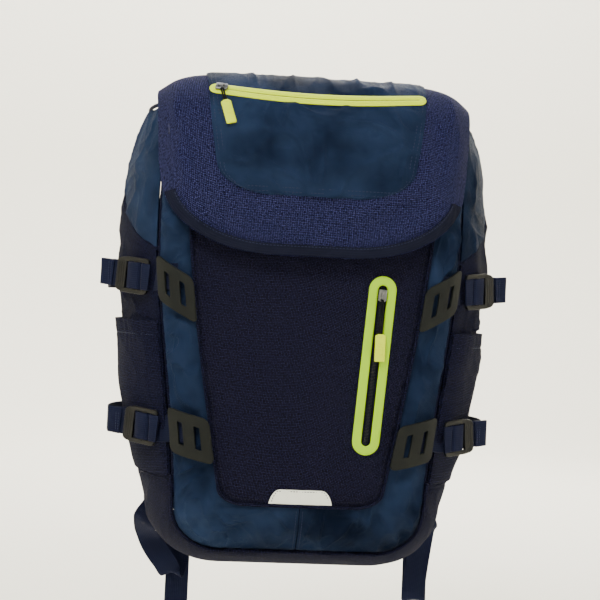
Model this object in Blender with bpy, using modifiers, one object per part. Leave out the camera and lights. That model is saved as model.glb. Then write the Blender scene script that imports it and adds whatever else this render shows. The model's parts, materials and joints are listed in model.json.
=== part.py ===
"""Top-lid day backpack, hanging by its haul loop.

Sizes are in millimetres and heights are counted up from the foot of the bag; to_world() turns both
into metres, with the origin at the inner top of the haul loop. X runs to the wearer's left seen from
the front, Y runs from the front to the wearer's back, and Z is up.
"""

import math
from bisect import bisect_right

import bmesh
import bpy
from mathutils import Matrix, Vector

MM = 0.001
GAP = 0.3  # clearance between neighbouring pieces
SEAM = 1.2  # distance from a panel's edge to its seam line

# Bag
HANG_HEIGHT = 478.0  # inner top of the haul loop above the foot of the bag
RIM_HEIGHT = 440.0  # mouth of the main compartment
BACK_FACE = -8.0  # front face of the back panel
BACK_THICK = 6.0
FABRIC = 1.8  # lined shell fabric
WEB = 1.6  # webbing thickness
WEB_WIDTH = 25.0

# Half-widths at heights: front panel, gusset seam, fullest part of the side, back seam
FRONT_HALF = ((84.0, 77.0), (164.0, 91.0), (231.0, 102.0), (293.0, 110.0), (333.0, 114.0), (455.0, 121.0))
GUSSET_HALF = (
    (61.0, 118.0), (121.0, 122.0), (164.0, 127.0), (245.0, 137.0), (302.0, 142.0), (455.0, 141.0),
)
SIDE_HALF = (
    (60.0, 148.0), (90.0, 156.0), (130.0, 167.0), (185.0, 175.0), (236.0, 178.0),
    (300.0, 184.0), (345.0, 182.0), (400.0, 174.0), (436.0, 162.0), (455.0, 149.0),
)
BACK_HALF = ((60.0, 128.0), (120.0, 140.0), (250.0, 150.0), (350.0, 150.0), (455.0, 138.0))
FRONT_LINE = (
    (0.0, -148.0), (69.0, -168.0), (110.0, -172.0), (120.0, -172.0), (320.0, -172.0),
    (330.0, -172.0), (390.0, -168.5), (420.0, -160.5), (440.0, -151.0),
)
FRONT_FOOT, FRONT_CORNER = 69.0, (26.0, 16.0)  # foot of the front panel; run and rise of its corner
GUSSET_FOOT, GUSSET_CORNER = 21.0, (45.0, 40.0)
BACK_FOOT, BACK_CORNER = 10.0, (60.0, 50.0)
FRONT_CROWN = 4.0
GUSSET_CROWN = 4.0
GUSSET_SETBACK = 15.0  # the gusset seam lies this far behind the front panel
FOOT_BULGE = 20.0
SIDE_FULLNESS = 0.7  # under 1 makes the side rise quickly from its seams
SIDE_SHARE, CORNER_SHARE = 0.70, 0.18  # shares of a U-shaped outline taken by its side and its corner
BASE_TOP = 88.0  # the base panel ends here on both sides
SHOULDER_FRONT, SHOULDER_BACK = 302.0, 418.0  # foot of the shoulder panel at its front and back seams

# Lid
LID_PROFILE = (
    (-9.0, 464.0), (-38.0, 473.5), (-80.0, 478.0), (-120.0, 475.5), (-150.0, 465.0), (-169.0, 448.0),
    (-181.0, 424.0), (-187.0, 392.0), (-190.0, 350.0), (-189.0, 301.0),
)
LID_HALF = 147.0
LID_LOW_HALF = 141.0
LID_CORNER = (104.0, 66.0)  # run and rise of the rounded lower corners
LID_WRAP = 29.0  # how far the side edges fall back from the middle
LID_ROOF_DROP = 15.0
LID_SHELL = 1.6
LID_LAYER_GAP = 0.7
LID_POCKET = 4.9  # depth of the pocket inside the lid
LID_LINING = 1.2
HEM_WIDTH = 10.0
PANEL_HALF_TOP, PANEL_HALF_LOW = 106.0, 86.0
PANEL_FOOT = 356.0
PANEL_CORNER = (46.0, 26.0)
PANEL_THICK = 1.0
LID_ZIP_HEIGHT = 450.0
LID_ZIP_HALF = 99.0
LID_ZIP_SLOT = 3.0  # half the slot's width
LID_ZIP_SAG = 8.0

# Front pocket zip
ZIP_MIDDLE = (63.0, 203.0)
ZIP_TILT = math.radians(3.8)
ZIP_RING = (86.0, 13.0)  # half the length and half the width outside
ZIP_SLOT = (78.0, 5.0)
ZIP_TRAVEL = 140.0
RING_THICK = 1.6
POCKET_DEPTH = 11.0
LINING_GAP = 0.8  # between the front panel and the edge of its pocket lining

# Straps
STRAP_HEIGHTS = {"upper": 277.0, "lower": 136.0}
TAB_SLOPE = {"upper": 22.0, "lower": 10.0}
TAB_HEIGHT = 42.0
TAB_THICK = 2.4
LOCK_LENGTH, LOCK_WIDTH, LOCK_THICK = 36.0, 34.0, 3.2
BAND_LIFT = 1.2  # the anchor bands lie this far off the gusset
LOCK_AT = 0.15  # place of a compression lock round the side, from the gusset seam to the back seam
LOCK_LIFT = 6.2
SIDE_POCKET_TOP = 236.0
SIDE_POCKET_EASE = 6.5
PAD_THICK = 13.0
STRAP_PAD = 11.0
LID_SEAT = 1.8  # extra room between the lid shell and its lining at their seams
LOOP_HALF, LOOP_RISE, LOOP_THICK, LOOP_WIDTH = 32.0, 38.0, 2.0, 16.0
LOOP_MIDDLE = BACK_FACE + BACK_THICK + 3 * GAP + 1.4 + LOOP_WIDTH / 2  # the haul loop behind the back

NAVY = ("navy_weave", (0.018, 0.021, 0.045), 0.85)
NAVY_FINE = ("navy_fine_weave", (0.010, 0.010, 0.020), 0.8)
BLUE = ("blue_satin", (0.022, 0.042, 0.085), 0.5)
NEON = ("neon_welt", (0.50, 0.72, 0.09), 0.5)
TAPE = ("zip_tape", (0.010, 0.010, 0.012), 0.7)
METAL = ("dark_metal", (0.05, 0.05, 0.055), 0.35)
PLASTIC = ("black_plastic", (0.010, 0.011, 0.012), 0.4)
WEBBING = ("navy_webbing", (0.014, 0.016, 0.032), 0.8)
RUBBER = ("olive_rubber", (0.020, 0.022, 0.020), 0.6)
REFLECTIVE = ("reflective_film", (0.62, 0.64, 0.60), 0.4)
MESH = ("spacer_mesh", (0.012, 0.012, 0.016), 0.9)
LINING = ("grey_lining", (0.10, 0.11, 0.13), 0.8)


def clear_scene():
    for obj in list(bpy.data.objects):
        bpy.data.objects.remove(obj, do_unlink=True)


def new_collection(name):
    collection = bpy.data.collections.new(name)
    bpy.context.scene.collection.children.link(collection)
    return collection


def finish_of(spec):
    name, colour, roughness = spec
    material = bpy.data.materials.get(name) or bpy.data.materials.new(name)
    material.use_nodes = True
    shader = material.node_tree.nodes["Principled BSDF"]
    shader.inputs["Base Color"].default_value = (*colour, 1.0)
    shader.inputs["Roughness"].default_value = roughness
    shader.inputs["Metallic"].default_value = 0.9 if spec is METAL else 0.0
    return material


def to_world(x, y, height):
    return Vector((x, y - LOOP_MIDDLE, height - HANG_HEIGHT)) * MM


def blend(a, b, share):
    return a + (b - a) * share


def along(stations, at):
    """Smooth value at one place through (place, value) stations, held level past both ends."""
    places = [place for place, _ in stations]
    if at <= places[0]:
        return stations[0][1]
    if at >= places[-1]:
        return stations[-1][1]
    i = bisect_right(places, at) - 1

    def slope(j):
        low, high = max(j - 1, 0), min(j + 1, len(stations) - 1)
        return (stations[high][1] - stations[low][1]) / (places[high] - places[low])

    span = places[i + 1] - places[i]
    s = (at - places[i]) / span
    start, end = stations[i][1], stations[i + 1][1]
    return (
        start * (1 + 2 * s) * (1 - s) ** 2
        + end * s * s * (3 - 2 * s)
        + span * (slope(i) * s * (1 - s) ** 2 - slope(i + 1) * s * s * (1 - s))
    )


# ---------------------------------------------------------------- surfaces of the bag


def u_outline(halves, foot, corner, k):
    """(half-width, height, corner angle) on a U-shaped outline: k is 0 at the rim and 1 under the middle."""
    run, rise = corner
    shoulder = foot + rise
    widest = along(halves, shoulder)
    if k <= SIDE_SHARE:
        height = blend(RIM_HEIGHT, shoulder, k / SIDE_SHARE)
        return along(halves, height), height, 0.0
    if k <= SIDE_SHARE + CORNER_SHARE:
        angle = (k - SIDE_SHARE) / CORNER_SHARE * math.pi / 2
        return widest - run * (1 - math.cos(angle)), shoulder - rise * math.sin(angle), angle
    share = (k - SIDE_SHARE - CORNER_SHARE) / (1 - SIDE_SHARE - CORNER_SHARE)
    return (widest - run) * (1 - share), foot, math.pi / 2


def front_outline(k):
    return u_outline(FRONT_HALF, FRONT_FOOT, FRONT_CORNER, k)


def gusset_outline(k):
    return u_outline(GUSSET_HALF, GUSSET_FOOT, GUSSET_CORNER, k)


def back_outline(k):
    return u_outline(BACK_HALF, BACK_FOOT, BACK_CORNER, k)


def front_half(height):
    """Half-width of the front panel, with its rounded lower corners."""
    run, rise = FRONT_CORNER
    half = along(FRONT_HALF, max(height, FRONT_FOOT + rise))
    below = min(max((FRONT_FOOT + rise - height) / rise, 0.0), 1.0)
    return half - run * (1 - math.sqrt(1 - below * below))


def front_depth(x, height):
    share = min(abs(x) / along(FRONT_HALF, height), 1.0)
    return along(FRONT_LINE, height) - FRONT_CROWN * (1 - share * share)


def gusset_point(side, k, t):
    """Point of the gusset: t is 0 at the front panel's seam and 1 at the side seam."""
    inner, inner_height, _ = front_outline(k)
    outer, outer_height, angle = gusset_outline(k)
    crown = GUSSET_CROWN * math.sin(math.pi * t)
    x = blend(inner, outer, t) + crown * math.cos(angle) * 0.5
    height = blend(inner_height, outer_height, t) - crown * math.sin(angle) * 0.5
    front = blend(front_depth(inner, inner_height), along(FRONT_LINE, outer_height) + GUSSET_SETBACK, t)
    return Vector((side * x, front - crown, height))


def gusset_k(height, t):
    """Place along the outlines whose point on the gusset lies at this height."""
    shoulder = blend(FRONT_FOOT + FRONT_CORNER[1], GUSSET_FOOT + GUSSET_CORNER[1], t)
    return SIDE_SHARE * (RIM_HEIGHT - height) / (RIM_HEIGHT - shoulder)


def side_point(side, k, t):
    """Point of the side and base surface: t is 0 at the gusset seam and 1 at the back seam."""
    outer, outer_height, angle = gusset_outline(k)
    back, back_height, _ = back_outline(k)
    height = blend(outer_height, back_height, t)
    middle = (outer + back) / 2
    side_bulge = along(SIDE_HALF, max(height, BACK_FOOT + BACK_CORNER[1])) - middle
    if angle == 0.0:
        bulge = side_bulge
    else:
        shoulder = GUSSET_FOOT + GUSSET_CORNER[1]
        widest = (along(GUSSET_HALF, shoulder) + along(BACK_HALF, shoulder)) / 2
        bulge = blend(along(SIDE_HALF, shoulder) - widest, FOOT_BULGE, math.sin(angle) ** 2)
    bulge *= math.sin(math.pi * t) ** SIDE_FULLNESS
    x = blend(outer, back, t) + bulge * math.cos(angle)
    front = along(FRONT_LINE, outer_height) + GUSSET_SETBACK
    return Vector((side * x, blend(front, BACK_FACE, t), max(height - bulge * math.sin(angle), 0.0)))


def side_k(height):
    """Place along the outlines whose point on the side lies at this height."""
    shoulder = GUSSET_FOOT + GUSSET_CORNER[1]
    return SIDE_SHARE * (RIM_HEIGHT - height) / (RIM_HEIGHT - shoulder)


INSIDE = Vector((0.0, -85.0, 230.0))


def level_offset(surface, side, k, t, distance):
    """Point of a surface(side, k, t) moved out level by a distance, square to its run round the bag."""
    here = surface(side, k, t)
    middle = Vector((0.0, -85.0, here.z))
    low = min(max(t - 1e-3, 0.0), 1.0 - 2e-3)
    run = surface(side, k, low + 2e-3) - surface(side, k, low)
    out = Vector((run.y, -run.x, 0.0)).normalized()
    return here + (out if out.dot(here - middle) > 0 else -out) * distance


def side_offset(side, k, t, distance):
    return level_offset(side_point, side, k, t, distance)


def gusset_offset(side, height, t, distance):
    place = level_offset(gusset_point, side, gusset_k(height, t), t, distance)
    return Vector((place.x, place.y, height))


# ---------------------------------------------------------------- builders


def keep(obj, spec, collection):
    obj.data.materials.clear()
    obj.data.materials.append(finish_of(spec))
    for other in list(obj.users_collection):
        other.objects.unlink(obj)
    collection.objects.link(obj)
    return obj


def mesh_object(name, verts, faces, spec, collection, scale=True):
    mesh = bpy.data.meshes.new(name)
    mesh.from_pydata([to_world(*v) if scale else v for v in verts], [], faces)
    mesh.update()
    return keep(bpy.data.objects.new(name, mesh), spec, collection)


def solidify(obj, thickness, offset):
    modifier = obj.modifiers.new("Fabric", "SOLIDIFY")
    modifier.thickness = thickness * MM
    modifier.offset = offset
    modifier.use_even_offset = True
    return obj


def face_away(obj, away):
    """Turns all faces of an open sheet to look away from a place."""
    middle = to_world(*away)
    mesh = obj.data
    score = sum(face.normal.dot(face.center - middle) * face.area for face in mesh.polygons)
    if score < 0:
        mesh.flip_normals()
    return obj


def grid(name, point, us, vs, thickness, spec, collection, outward=False, skip=(), away=INSIDE):
    """Thick sheet over point(u, v), with the cells listed in skip left open."""
    verts = [point(u, v) for v in vs for u in us]
    wide = len(us)
    faces = [
        (j * wide + i, j * wide + i + 1, (j + 1) * wide + i + 1, (j + 1) * wide + i)
        for j in range(len(vs) - 1)
        for i in range(wide - 1)
        if (i, j) not in skip
    ]
    obj = mesh_object(name, verts, faces, spec, collection)
    return solidify(face_away(obj, away), thickness, 1.0 if outward else -1.0)


def spread(low, high, count):
    return [blend(low, high, i / (count - 1)) for i in range(count)]


def loop_strip(name, point, outer, inner, thickness, spec, collection):
    """Thick ring between two closed outlines of (a, b) pairs, laid on point(a, b)."""
    count = len(outer)
    verts = [point(a, b) for a, b in outer] + [point(a, b) for a, b in inner]
    faces = [(i, (i + 1) % count, count + (i + 1) % count, count + i) for i in range(count)]
    obj = mesh_object(name, verts, faces, spec, collection)
    return solidify(face_away(obj, INSIDE), thickness, 1.0)


def stadium(half_length, half_width, tilt=0.0, middle=(0.0, 0.0), along_x=False, steps=6):
    """Closed outline with two round ends, upright unless along_x, turned by tilt about its middle."""
    ends = []
    straight = half_length - half_width
    for end in (1, -1):
        for i in range(steps + 1):
            angle = math.pi * i / steps
            reach = straight + half_width * math.sin(angle)
            ends.append((end * half_width * math.cos(angle), end * reach))
        # the straight runs get points of their own, so that a ring follows a curved surface
        for i in range(1, 8):
            ends.append((-end * half_width, end * blend(straight, -straight, i / 8)))
    outline = []
    for a, b in ends:
        if along_x:
            a, b = b, a
        outline.append(
            (
                middle[0] + a * math.cos(tilt) + b * math.sin(tilt),
                middle[1] - a * math.sin(tilt) + b * math.cos(tilt),
            )
        )
    return outline


def ribbon(name, path, across, widths, thickness, spec, collection):
    """Flat band through a path of points: across gives the direction of its width at each point."""
    verts, faces = [], []
    for i, (here, direction, width) in enumerate(zip(path, across, widths)):
        reach = Vector(direction).normalized() * (width / 2)
        verts += [here - reach, here + reach]
        if i:
            faces.append((2 * i - 2, 2 * i - 1, 2 * i + 1, 2 * i))
    obj = mesh_object(name, verts, faces, spec, collection)
    return solidify(obj, thickness, 0.0)


def smooth_path(points, count):
    """Catmull-Rom curve through points, as count places evenly spread along its parameter."""
    ends = [points[0] * 2 - points[1], *points, points[-1] * 2 - points[-2]]
    result = []
    for step in range(count):
        at = (len(points) - 1) * step / (count - 1)
        i = min(int(at), len(points) - 2)
        s = at - i
        a, b, c, d = ends[i : i + 4]
        result.append(
            0.5 * (2 * b + (c - a) * s + (2 * a - 5 * b + 4 * c - d) * s ** 2 + (3 * b - a - 3 * c + d) * s ** 3)
        )
    return result


def tube(name, points, radius, spec, collection, cyclic=False, sides=1):
    """Round cord through points, as a mesh with its caps welded."""
    data = bpy.data.curves.new(name, "CURVE")
    data.dimensions = "3D"
    data.bevel_depth = radius * MM
    data.bevel_resolution = sides
    data.use_fill_caps = not cyclic
    spline = data.splines.new("POLY")
    spline.points.add(len(points) - 1)
    for target, point in zip(spline.points, points):
        target.co = (*to_world(*point), 1.0)
    spline.use_cyclic_u = cyclic
    return keep(as_mesh(bpy.data.objects.new(name, data)), spec, collection)


def as_mesh(curve):
    """Mesh object made from a curve object, which it replaces."""
    bpy.context.scene.collection.objects.link(curve)
    bpy.context.view_layer.update()
    evaluated = curve.evaluated_get(bpy.context.evaluated_depsgraph_get())
    mesh = bpy.data.meshes.new_from_object(evaluated)
    shape = bmesh.new()
    shape.from_mesh(mesh)
    bmesh.ops.remove_doubles(shape, verts=shape.verts, dist=1e-6)
    bmesh.ops.recalc_face_normals(shape, faces=shape.faces)
    shape.to_mesh(mesh)
    shape.free()
    name, matrix = curve.name, curve.matrix_world.copy()
    bpy.data.objects.remove(curve, do_unlink=True)
    obj = bpy.data.objects.new(name, mesh)
    obj.matrix_world = matrix
    bpy.context.scene.collection.objects.link(obj)
    return obj


def block(name, low, high, round_by, spec, collection, segments=3):
    """Box between two corners with rounded edges."""
    shape = bmesh.new()
    bmesh.ops.create_cube(shape, size=1.0)
    low, high = to_world(*low), to_world(*high)
    size, middle = high - low, (low + high) / 2
    stretch = Matrix.Translation(middle) @ Matrix.Diagonal((*size, 1.0))
    bmesh.ops.transform(shape, matrix=stretch, verts=shape.verts)
    mesh = bpy.data.meshes.new(name)
    shape.to_mesh(mesh)
    shape.free()
    obj = keep(bpy.data.objects.new(name, mesh), spec, collection)
    modifier = obj.modifiers.new("Round", "BEVEL")
    modifier.width = round_by * MM
    modifier.segments = segments
    return obj


def placed(obj, origin, x_axis, y_axis, z_axis):
    """Moves an object modelled at the origin, in metres, to a frame given in millimetres."""
    turn = Matrix((x_axis, y_axis, z_axis)).transposed().to_4x4()
    obj.matrix_world = Matrix.Translation(to_world(*origin)) @ turn
    return obj


# ---------------------------------------------------------------- bag shell


def build_front(parts, cutters):
    """Front panel with its zip slot, its pocket lining and the piping round its seam."""
    heights = [FRONT_FOOT, 71.0, 75.0, 80.0, 86.0, 110.0, 150.0, 200.0, 250.0, 300.0, 345.0, 385.0, 420.0]
    heights.append(RIM_HEIGHT)

    def panel(s, height):
        half = front_half(height) - SEAM
        return Vector((s * half, front_depth(s * half, height), height))

    front = grid("front_panel", panel, spread(-1, 1, 9), heights, FABRIC, NAVY_FINE, parts)
    cut_slot(front, cutters)

    def lining(s, height):
        half = front_half(height) - 8.0
        rise = min((height - FRONT_FOOT - 6.0) / 30.0, (330.0 - height) / 30.0, 1.0)
        room = (1 - abs(s) ** 4) * (1 - (1 - max(rise, 0.0)) ** 2)
        inside = FABRIC + LINING_GAP + POCKET_DEPTH * room
        return Vector((s * half, front_depth(s * half, height) + inside, height))

    low, high = FRONT_FOOT + 6.0, 330.0
    levels = [low, low + 5, low + 14, low + 30, 150.0, 200.0, 250.0, high - 30, high - 14, high - 5, high]
    grid("front_pocket_lining", lining, spread(-1, 1, 11), levels, 1.0, LINING, parts)

    route = []
    for side, ks in ((-1, spread(0.27, 0.995, 24)), (1, spread(0.995, 0.27, 24))):
        for k in ks:
            x, height, _ = front_outline(k)
            route.append((side * x, front_depth(x, height) - 1.4 - GAP, height))
    tube("front_piping", route, 1.4, NAVY, parts)


def ring_point(lift):
    """Maps the front pocket zip's own (across, height) places on to the front panel, moved out by lift."""

    def point(x, height):
        return Vector((x, front_depth(x, height) - lift, height))

    return point


def cut_slot(front, cutters):
    outline = stadium(ZIP_SLOT[0], ZIP_SLOT[1], ZIP_TILT, ZIP_MIDDLE)
    count = len(outline)
    depths = (-185.0, -160.0)
    verts = [Vector((x, depth, height)) for depth in depths for x, height in outline]
    sides = [(i, (i + 1) % count, count + (i + 1) % count, count + i) for i in range(count)]
    faces = sides + [tuple(range(count - 1, -1, -1)), tuple(range(count, 2 * count))]
    cutter = mesh_object("front_zip_slot_cutter", verts, faces, NAVY, cutters)
    shape = bmesh.new()
    shape.from_mesh(cutter.data)
    bmesh.ops.recalc_face_normals(shape, faces=shape.faces)
    shape.to_mesh(cutter.data)
    shape.free()
    cutter.hide_render = True
    cutter.display_type = "WIRE"
    modifier = front.modifiers.new("Zip slot", "BOOLEAN")
    modifier.object = cutter
    modifier.operation = "DIFFERENCE"


def build_gussets(parts):
    share = SEAM / 34.0
    for side, word in ((-1, "left"), (1, "right")):
        ks = spread(0.0, 0.98, 22) + [1.0 - SEAM / 110.0 * 0.12]
        grid(
            f"gusset_{word}", lambda t, k, side=side: gusset_point(side, k, t),
            spread(share, 1 - share, 5), ks, FABRIC, BLUE, parts,
        )


def shoulder_k(t):
    return side_k(blend(SHOULDER_FRONT, SHOULDER_BACK, t))


def build_sides(parts):
    """Side panels, the shoulder panels above them, the base panel below and its piping."""
    share = SEAM / 175.0
    around = spread(share, 1 - share, 13)
    seam = 0.0006
    for side, word in ((-1, "left"), (1, "right")):

        def shoulder(t, v, side=side):
            return side_point(side, blend(0.0, shoulder_k(t) - seam, v), t)

        def panel(t, v, side=side):
            return side_point(side, blend(shoulder_k(t) + seam, side_k(BASE_TOP) - seam, v), t)

        grid(f"shoulder_panel_{word}", shoulder, around, spread(0, 1, 7), FABRIC, BLUE, parts)
        grid(f"side_panel_{word}", panel, around, spread(0, 1, 9), FABRIC, NAVY, parts)

    first = side_k(BASE_TOP) + seam

    def base(t, j):
        return side_point(1 if j > 0 else -1, 1 - abs(j) * (1 - first), t)

    grid("base_panel", base, spread(share, 1 - share, 11), spread(-1, 1, 35), 2.6, NAVY, parts)

    route = []
    for side, ks in ((-1, spread(0.66, 0.995, 16)), (1, spread(0.995, 0.66, 16))):
        for k in ks:
            x, height, angle = gusset_outline(k)
            out = Vector((side * math.cos(angle), 0.0, -math.sin(angle)))
            seam_point = Vector((side * x, along(FRONT_LINE, height) + GUSSET_SETBACK, height))
            route.append(seam_point + (out + Vector((0.0, -1.0, 0.0))).normalized() * (2.0 + GAP))
    tube("base_piping", route, 1.6, NAVY, parts)


def build_back(parts):
    """Back panel, its pads, the sleeve inside it, the mouth binding and the strip the lid hangs from."""

    def back(s, k):
        half, height, _ = back_outline(k)
        return Vector((s * half, BACK_FACE + GAP, height))

    ks = spread(0.0, 0.70, 8) + spread(0.73, 0.88, 6)
    panel = grid("back_panel", back, spread(-1, 1, 5), ks, BACK_THICK, NAVY, parts, outward=True)
    panel.modifiers["Fabric"].use_even_offset = False
    rear = BACK_FACE + GAP + BACK_THICK + GAP
    for side, word in ((-1, "left"), (1, "right")):
        xs = sorted((side * 14.0, side * 108.0))
        block(
            f"back_pad_{word}", (xs[0], rear, 122.0), (xs[1], rear + PAD_THICK, 392.0), 6.0, MESH, parts
        )
    block("lumbar_pad", (-66.0, rear, 40.0), (66.0, rear + PAD_THICK, 112.0), 6.0, MESH, parts)

    def sleeve(s, height):
        rise = min((height - 60.0) / 20.0, 1.0)
        room = (1 - abs(s) ** 6) * (1 - (1 - rise) ** 2)
        return Vector((s * 116.0, BACK_FACE - GAP - 2.2 - 22.0 * room, height))

    grid(
        "laptop_sleeve", sleeve, [-1, -0.96, -0.88, -0.7, -0.4, 0, 0.4, 0.7, 0.88, 0.96, 1],
        [60.0, 64.0, 70.0, 80.0, 160.0, 260.0, 370.0], 2.0, LINING, parts,
        away=Vector((0.0, 200.0, 230.0)), outward=False,
    )

    route = [Vector((s * along(FRONT_HALF, RIM_HEIGHT), front_depth(s * 121.0, RIM_HEIGHT), RIM_HEIGHT))
             for s in spread(-0.96, 0.96, 7)]
    route += [gusset_point(1, 0.0, t) for t in spread(0.0, 1.0, 4)]
    route += [side_point(1, 0.0, t) for t in spread(0.05, 0.95, 9)]
    rear_half = along(BACK_HALF, RIM_HEIGHT)
    route += [Vector((s * rear_half, BACK_FACE + 3.0, RIM_HEIGHT)) for s in spread(0.98, -0.98, 6)]
    route += [side_point(-1, 0.0, t) for t in spread(0.95, 0.05, 9)]
    route += [gusset_point(-1, 0.0, t) for t in spread(1.0, 0.0, 4)]
    radius = 1.8
    raised = [p + Vector((0, 0.8, radius + GAP)) for p in route]
    tube("mouth_binding", raised, radius, WEBBING, parts, cyclic=True)

    top = LID_PROFILE[0][1] - 0.4
    front = BACK_FACE + GAP + BACK_THICK + GAP
    path = [Vector((0, y, h)) for y, h in ((front + 0.7, 428.0), (front + 0.7, 452.0), (front - 1.0, 460.0),
                                          (-7.7, top))]
    ribbon(
        "lid_hinge_strip", path, [Vector((1, 0, 0))] * 4, [236.0] * 4, 1.2, NAVY, parts,
    )


def build_side_pockets(parts):
    top, low = SIDE_POCKET_TOP, BASE_TOP + 3.0
    for side, word in ((-1, "left"), (1, "right")):

        def pocket(t, height, side=side):
            share = (height - low) / (top - low)
            ease = SIDE_POCKET_EASE * share * math.sin(math.pi * (t - 0.06) / 0.88) ** 0.6
            return side_offset(side, side_k(height), t, GAP + 0.2 + max(ease, 0.0))

        grid(
            f"side_pocket_{word}", pocket, [0.06, 0.065] + spread(0.1, 0.9, 11) + [0.935, 0.94],
            spread(low, top, 6), 1.6, NAVY,
            parts, outward=True,
        )


def build_patch(parts):
    """Reflective patch at the foot of the front panel."""

    def point(s, v):
        x = s * blend(30.0, 20.0, v)
        height = blend(FRONT_FOOT + 2.2, FRONT_FOOT + 15.0, v)
        return Vector((x, front_depth(x, height) - GAP, height))

    grid("reflective_patch", point, spread(-1, 1, 5), spread(0, 1, 3), 0.8, REFLECTIVE, parts, outward=True)


# ---------------------------------------------------------------- lid


class LidSurface:
    """Lid surface over (x, v): v runs along the middle profile from the hinge to the hem."""

    def __init__(self):
        fine = smooth_path([Vector((0.0, y, h)) for y, h in LID_PROFILE], 181)
        self.points, self.lengths = fine, [0.0]
        for a, b in zip(fine, fine[1:]):
            self.lengths.append(self.lengths[-1] + (b - a).length)
        self.length = self.lengths[-1]
        self.corner_start = self.length - LID_CORNER[1]

    def profile(self, v):
        v = min(max(v, 0.0), self.length)
        i = min(max(bisect_right(self.lengths, v) - 1, 0), len(self.points) - 2)
        span = self.lengths[i + 1] - self.lengths[i]
        share = (v - self.lengths[i]) / span
        here = blend(self.points[i], self.points[i + 1], share)
        run = (self.points[min(i + 2, len(self.points) - 1)] - self.points[max(i - 1, 0)]).normalized()
        return here, Vector((0.0, -run.z, run.y)) * -1

    def at_height(self, height):
        """Place along the profile, on its front run, that lies at this height."""
        for i in range(len(self.points) - 1, 0, -1):
            a, b = self.points[i - 1], self.points[i]
            if a.z >= height >= b.z:
                return blend(self.lengths[i - 1], self.lengths[i], (a.z - height) / (a.z - b.z))
        raise ValueError(f"the lid doesn't reach {height}")

    def half(self, v):
        """Half-width of the lid, with its rounded lower corners."""
        run, rise = LID_CORNER
        side = blend(LID_HALF, LID_LOW_HALF, min(max((v - 150.0) / (self.corner_start - 150.0), 0.0), 1.0))
        below = min(max((v - self.corner_start) / rise, 0.0), 1.0)
        return side - run * (1 - math.sqrt(1 - below * below))

    def point(self, x, v, lift):
        here, out = self.profile(v)
        share = abs(x) / LID_HALF
        roof = max(out.z, 0.0)
        wrap = LID_WRAP * (0.12 * share ** 2 + 0.88 * share ** 6)
        back = wrap * (1 - roof) + min(wrap * 0.35, max(LID_PROFILE[0][0] - here.y, 0.0)) * roof
        drop = LID_ROOF_DROP * share ** 8 * roof
        return here + out * lift + Vector((x, back, -drop))

    def zip_place(self, x):
        """Place along the profile of the lid zip, which bows down a little in the middle."""
        return self.at_height(LID_ZIP_HEIGHT) - LID_ZIP_SAG * (abs(x) / LID_ZIP_HALF) ** 2 + LID_ZIP_SAG / 2


def warped(lid, x, v):
    """Moves a place near the zip with the zip's bow, so that a row of cells can be the slot."""
    middle = lid.at_height(LID_ZIP_HEIGHT)
    near = math.exp(-(((v - middle) / 26.0) ** 4))
    return v + (lid.zip_place(min(abs(x), LID_ZIP_HALF)) - middle) * near


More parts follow.
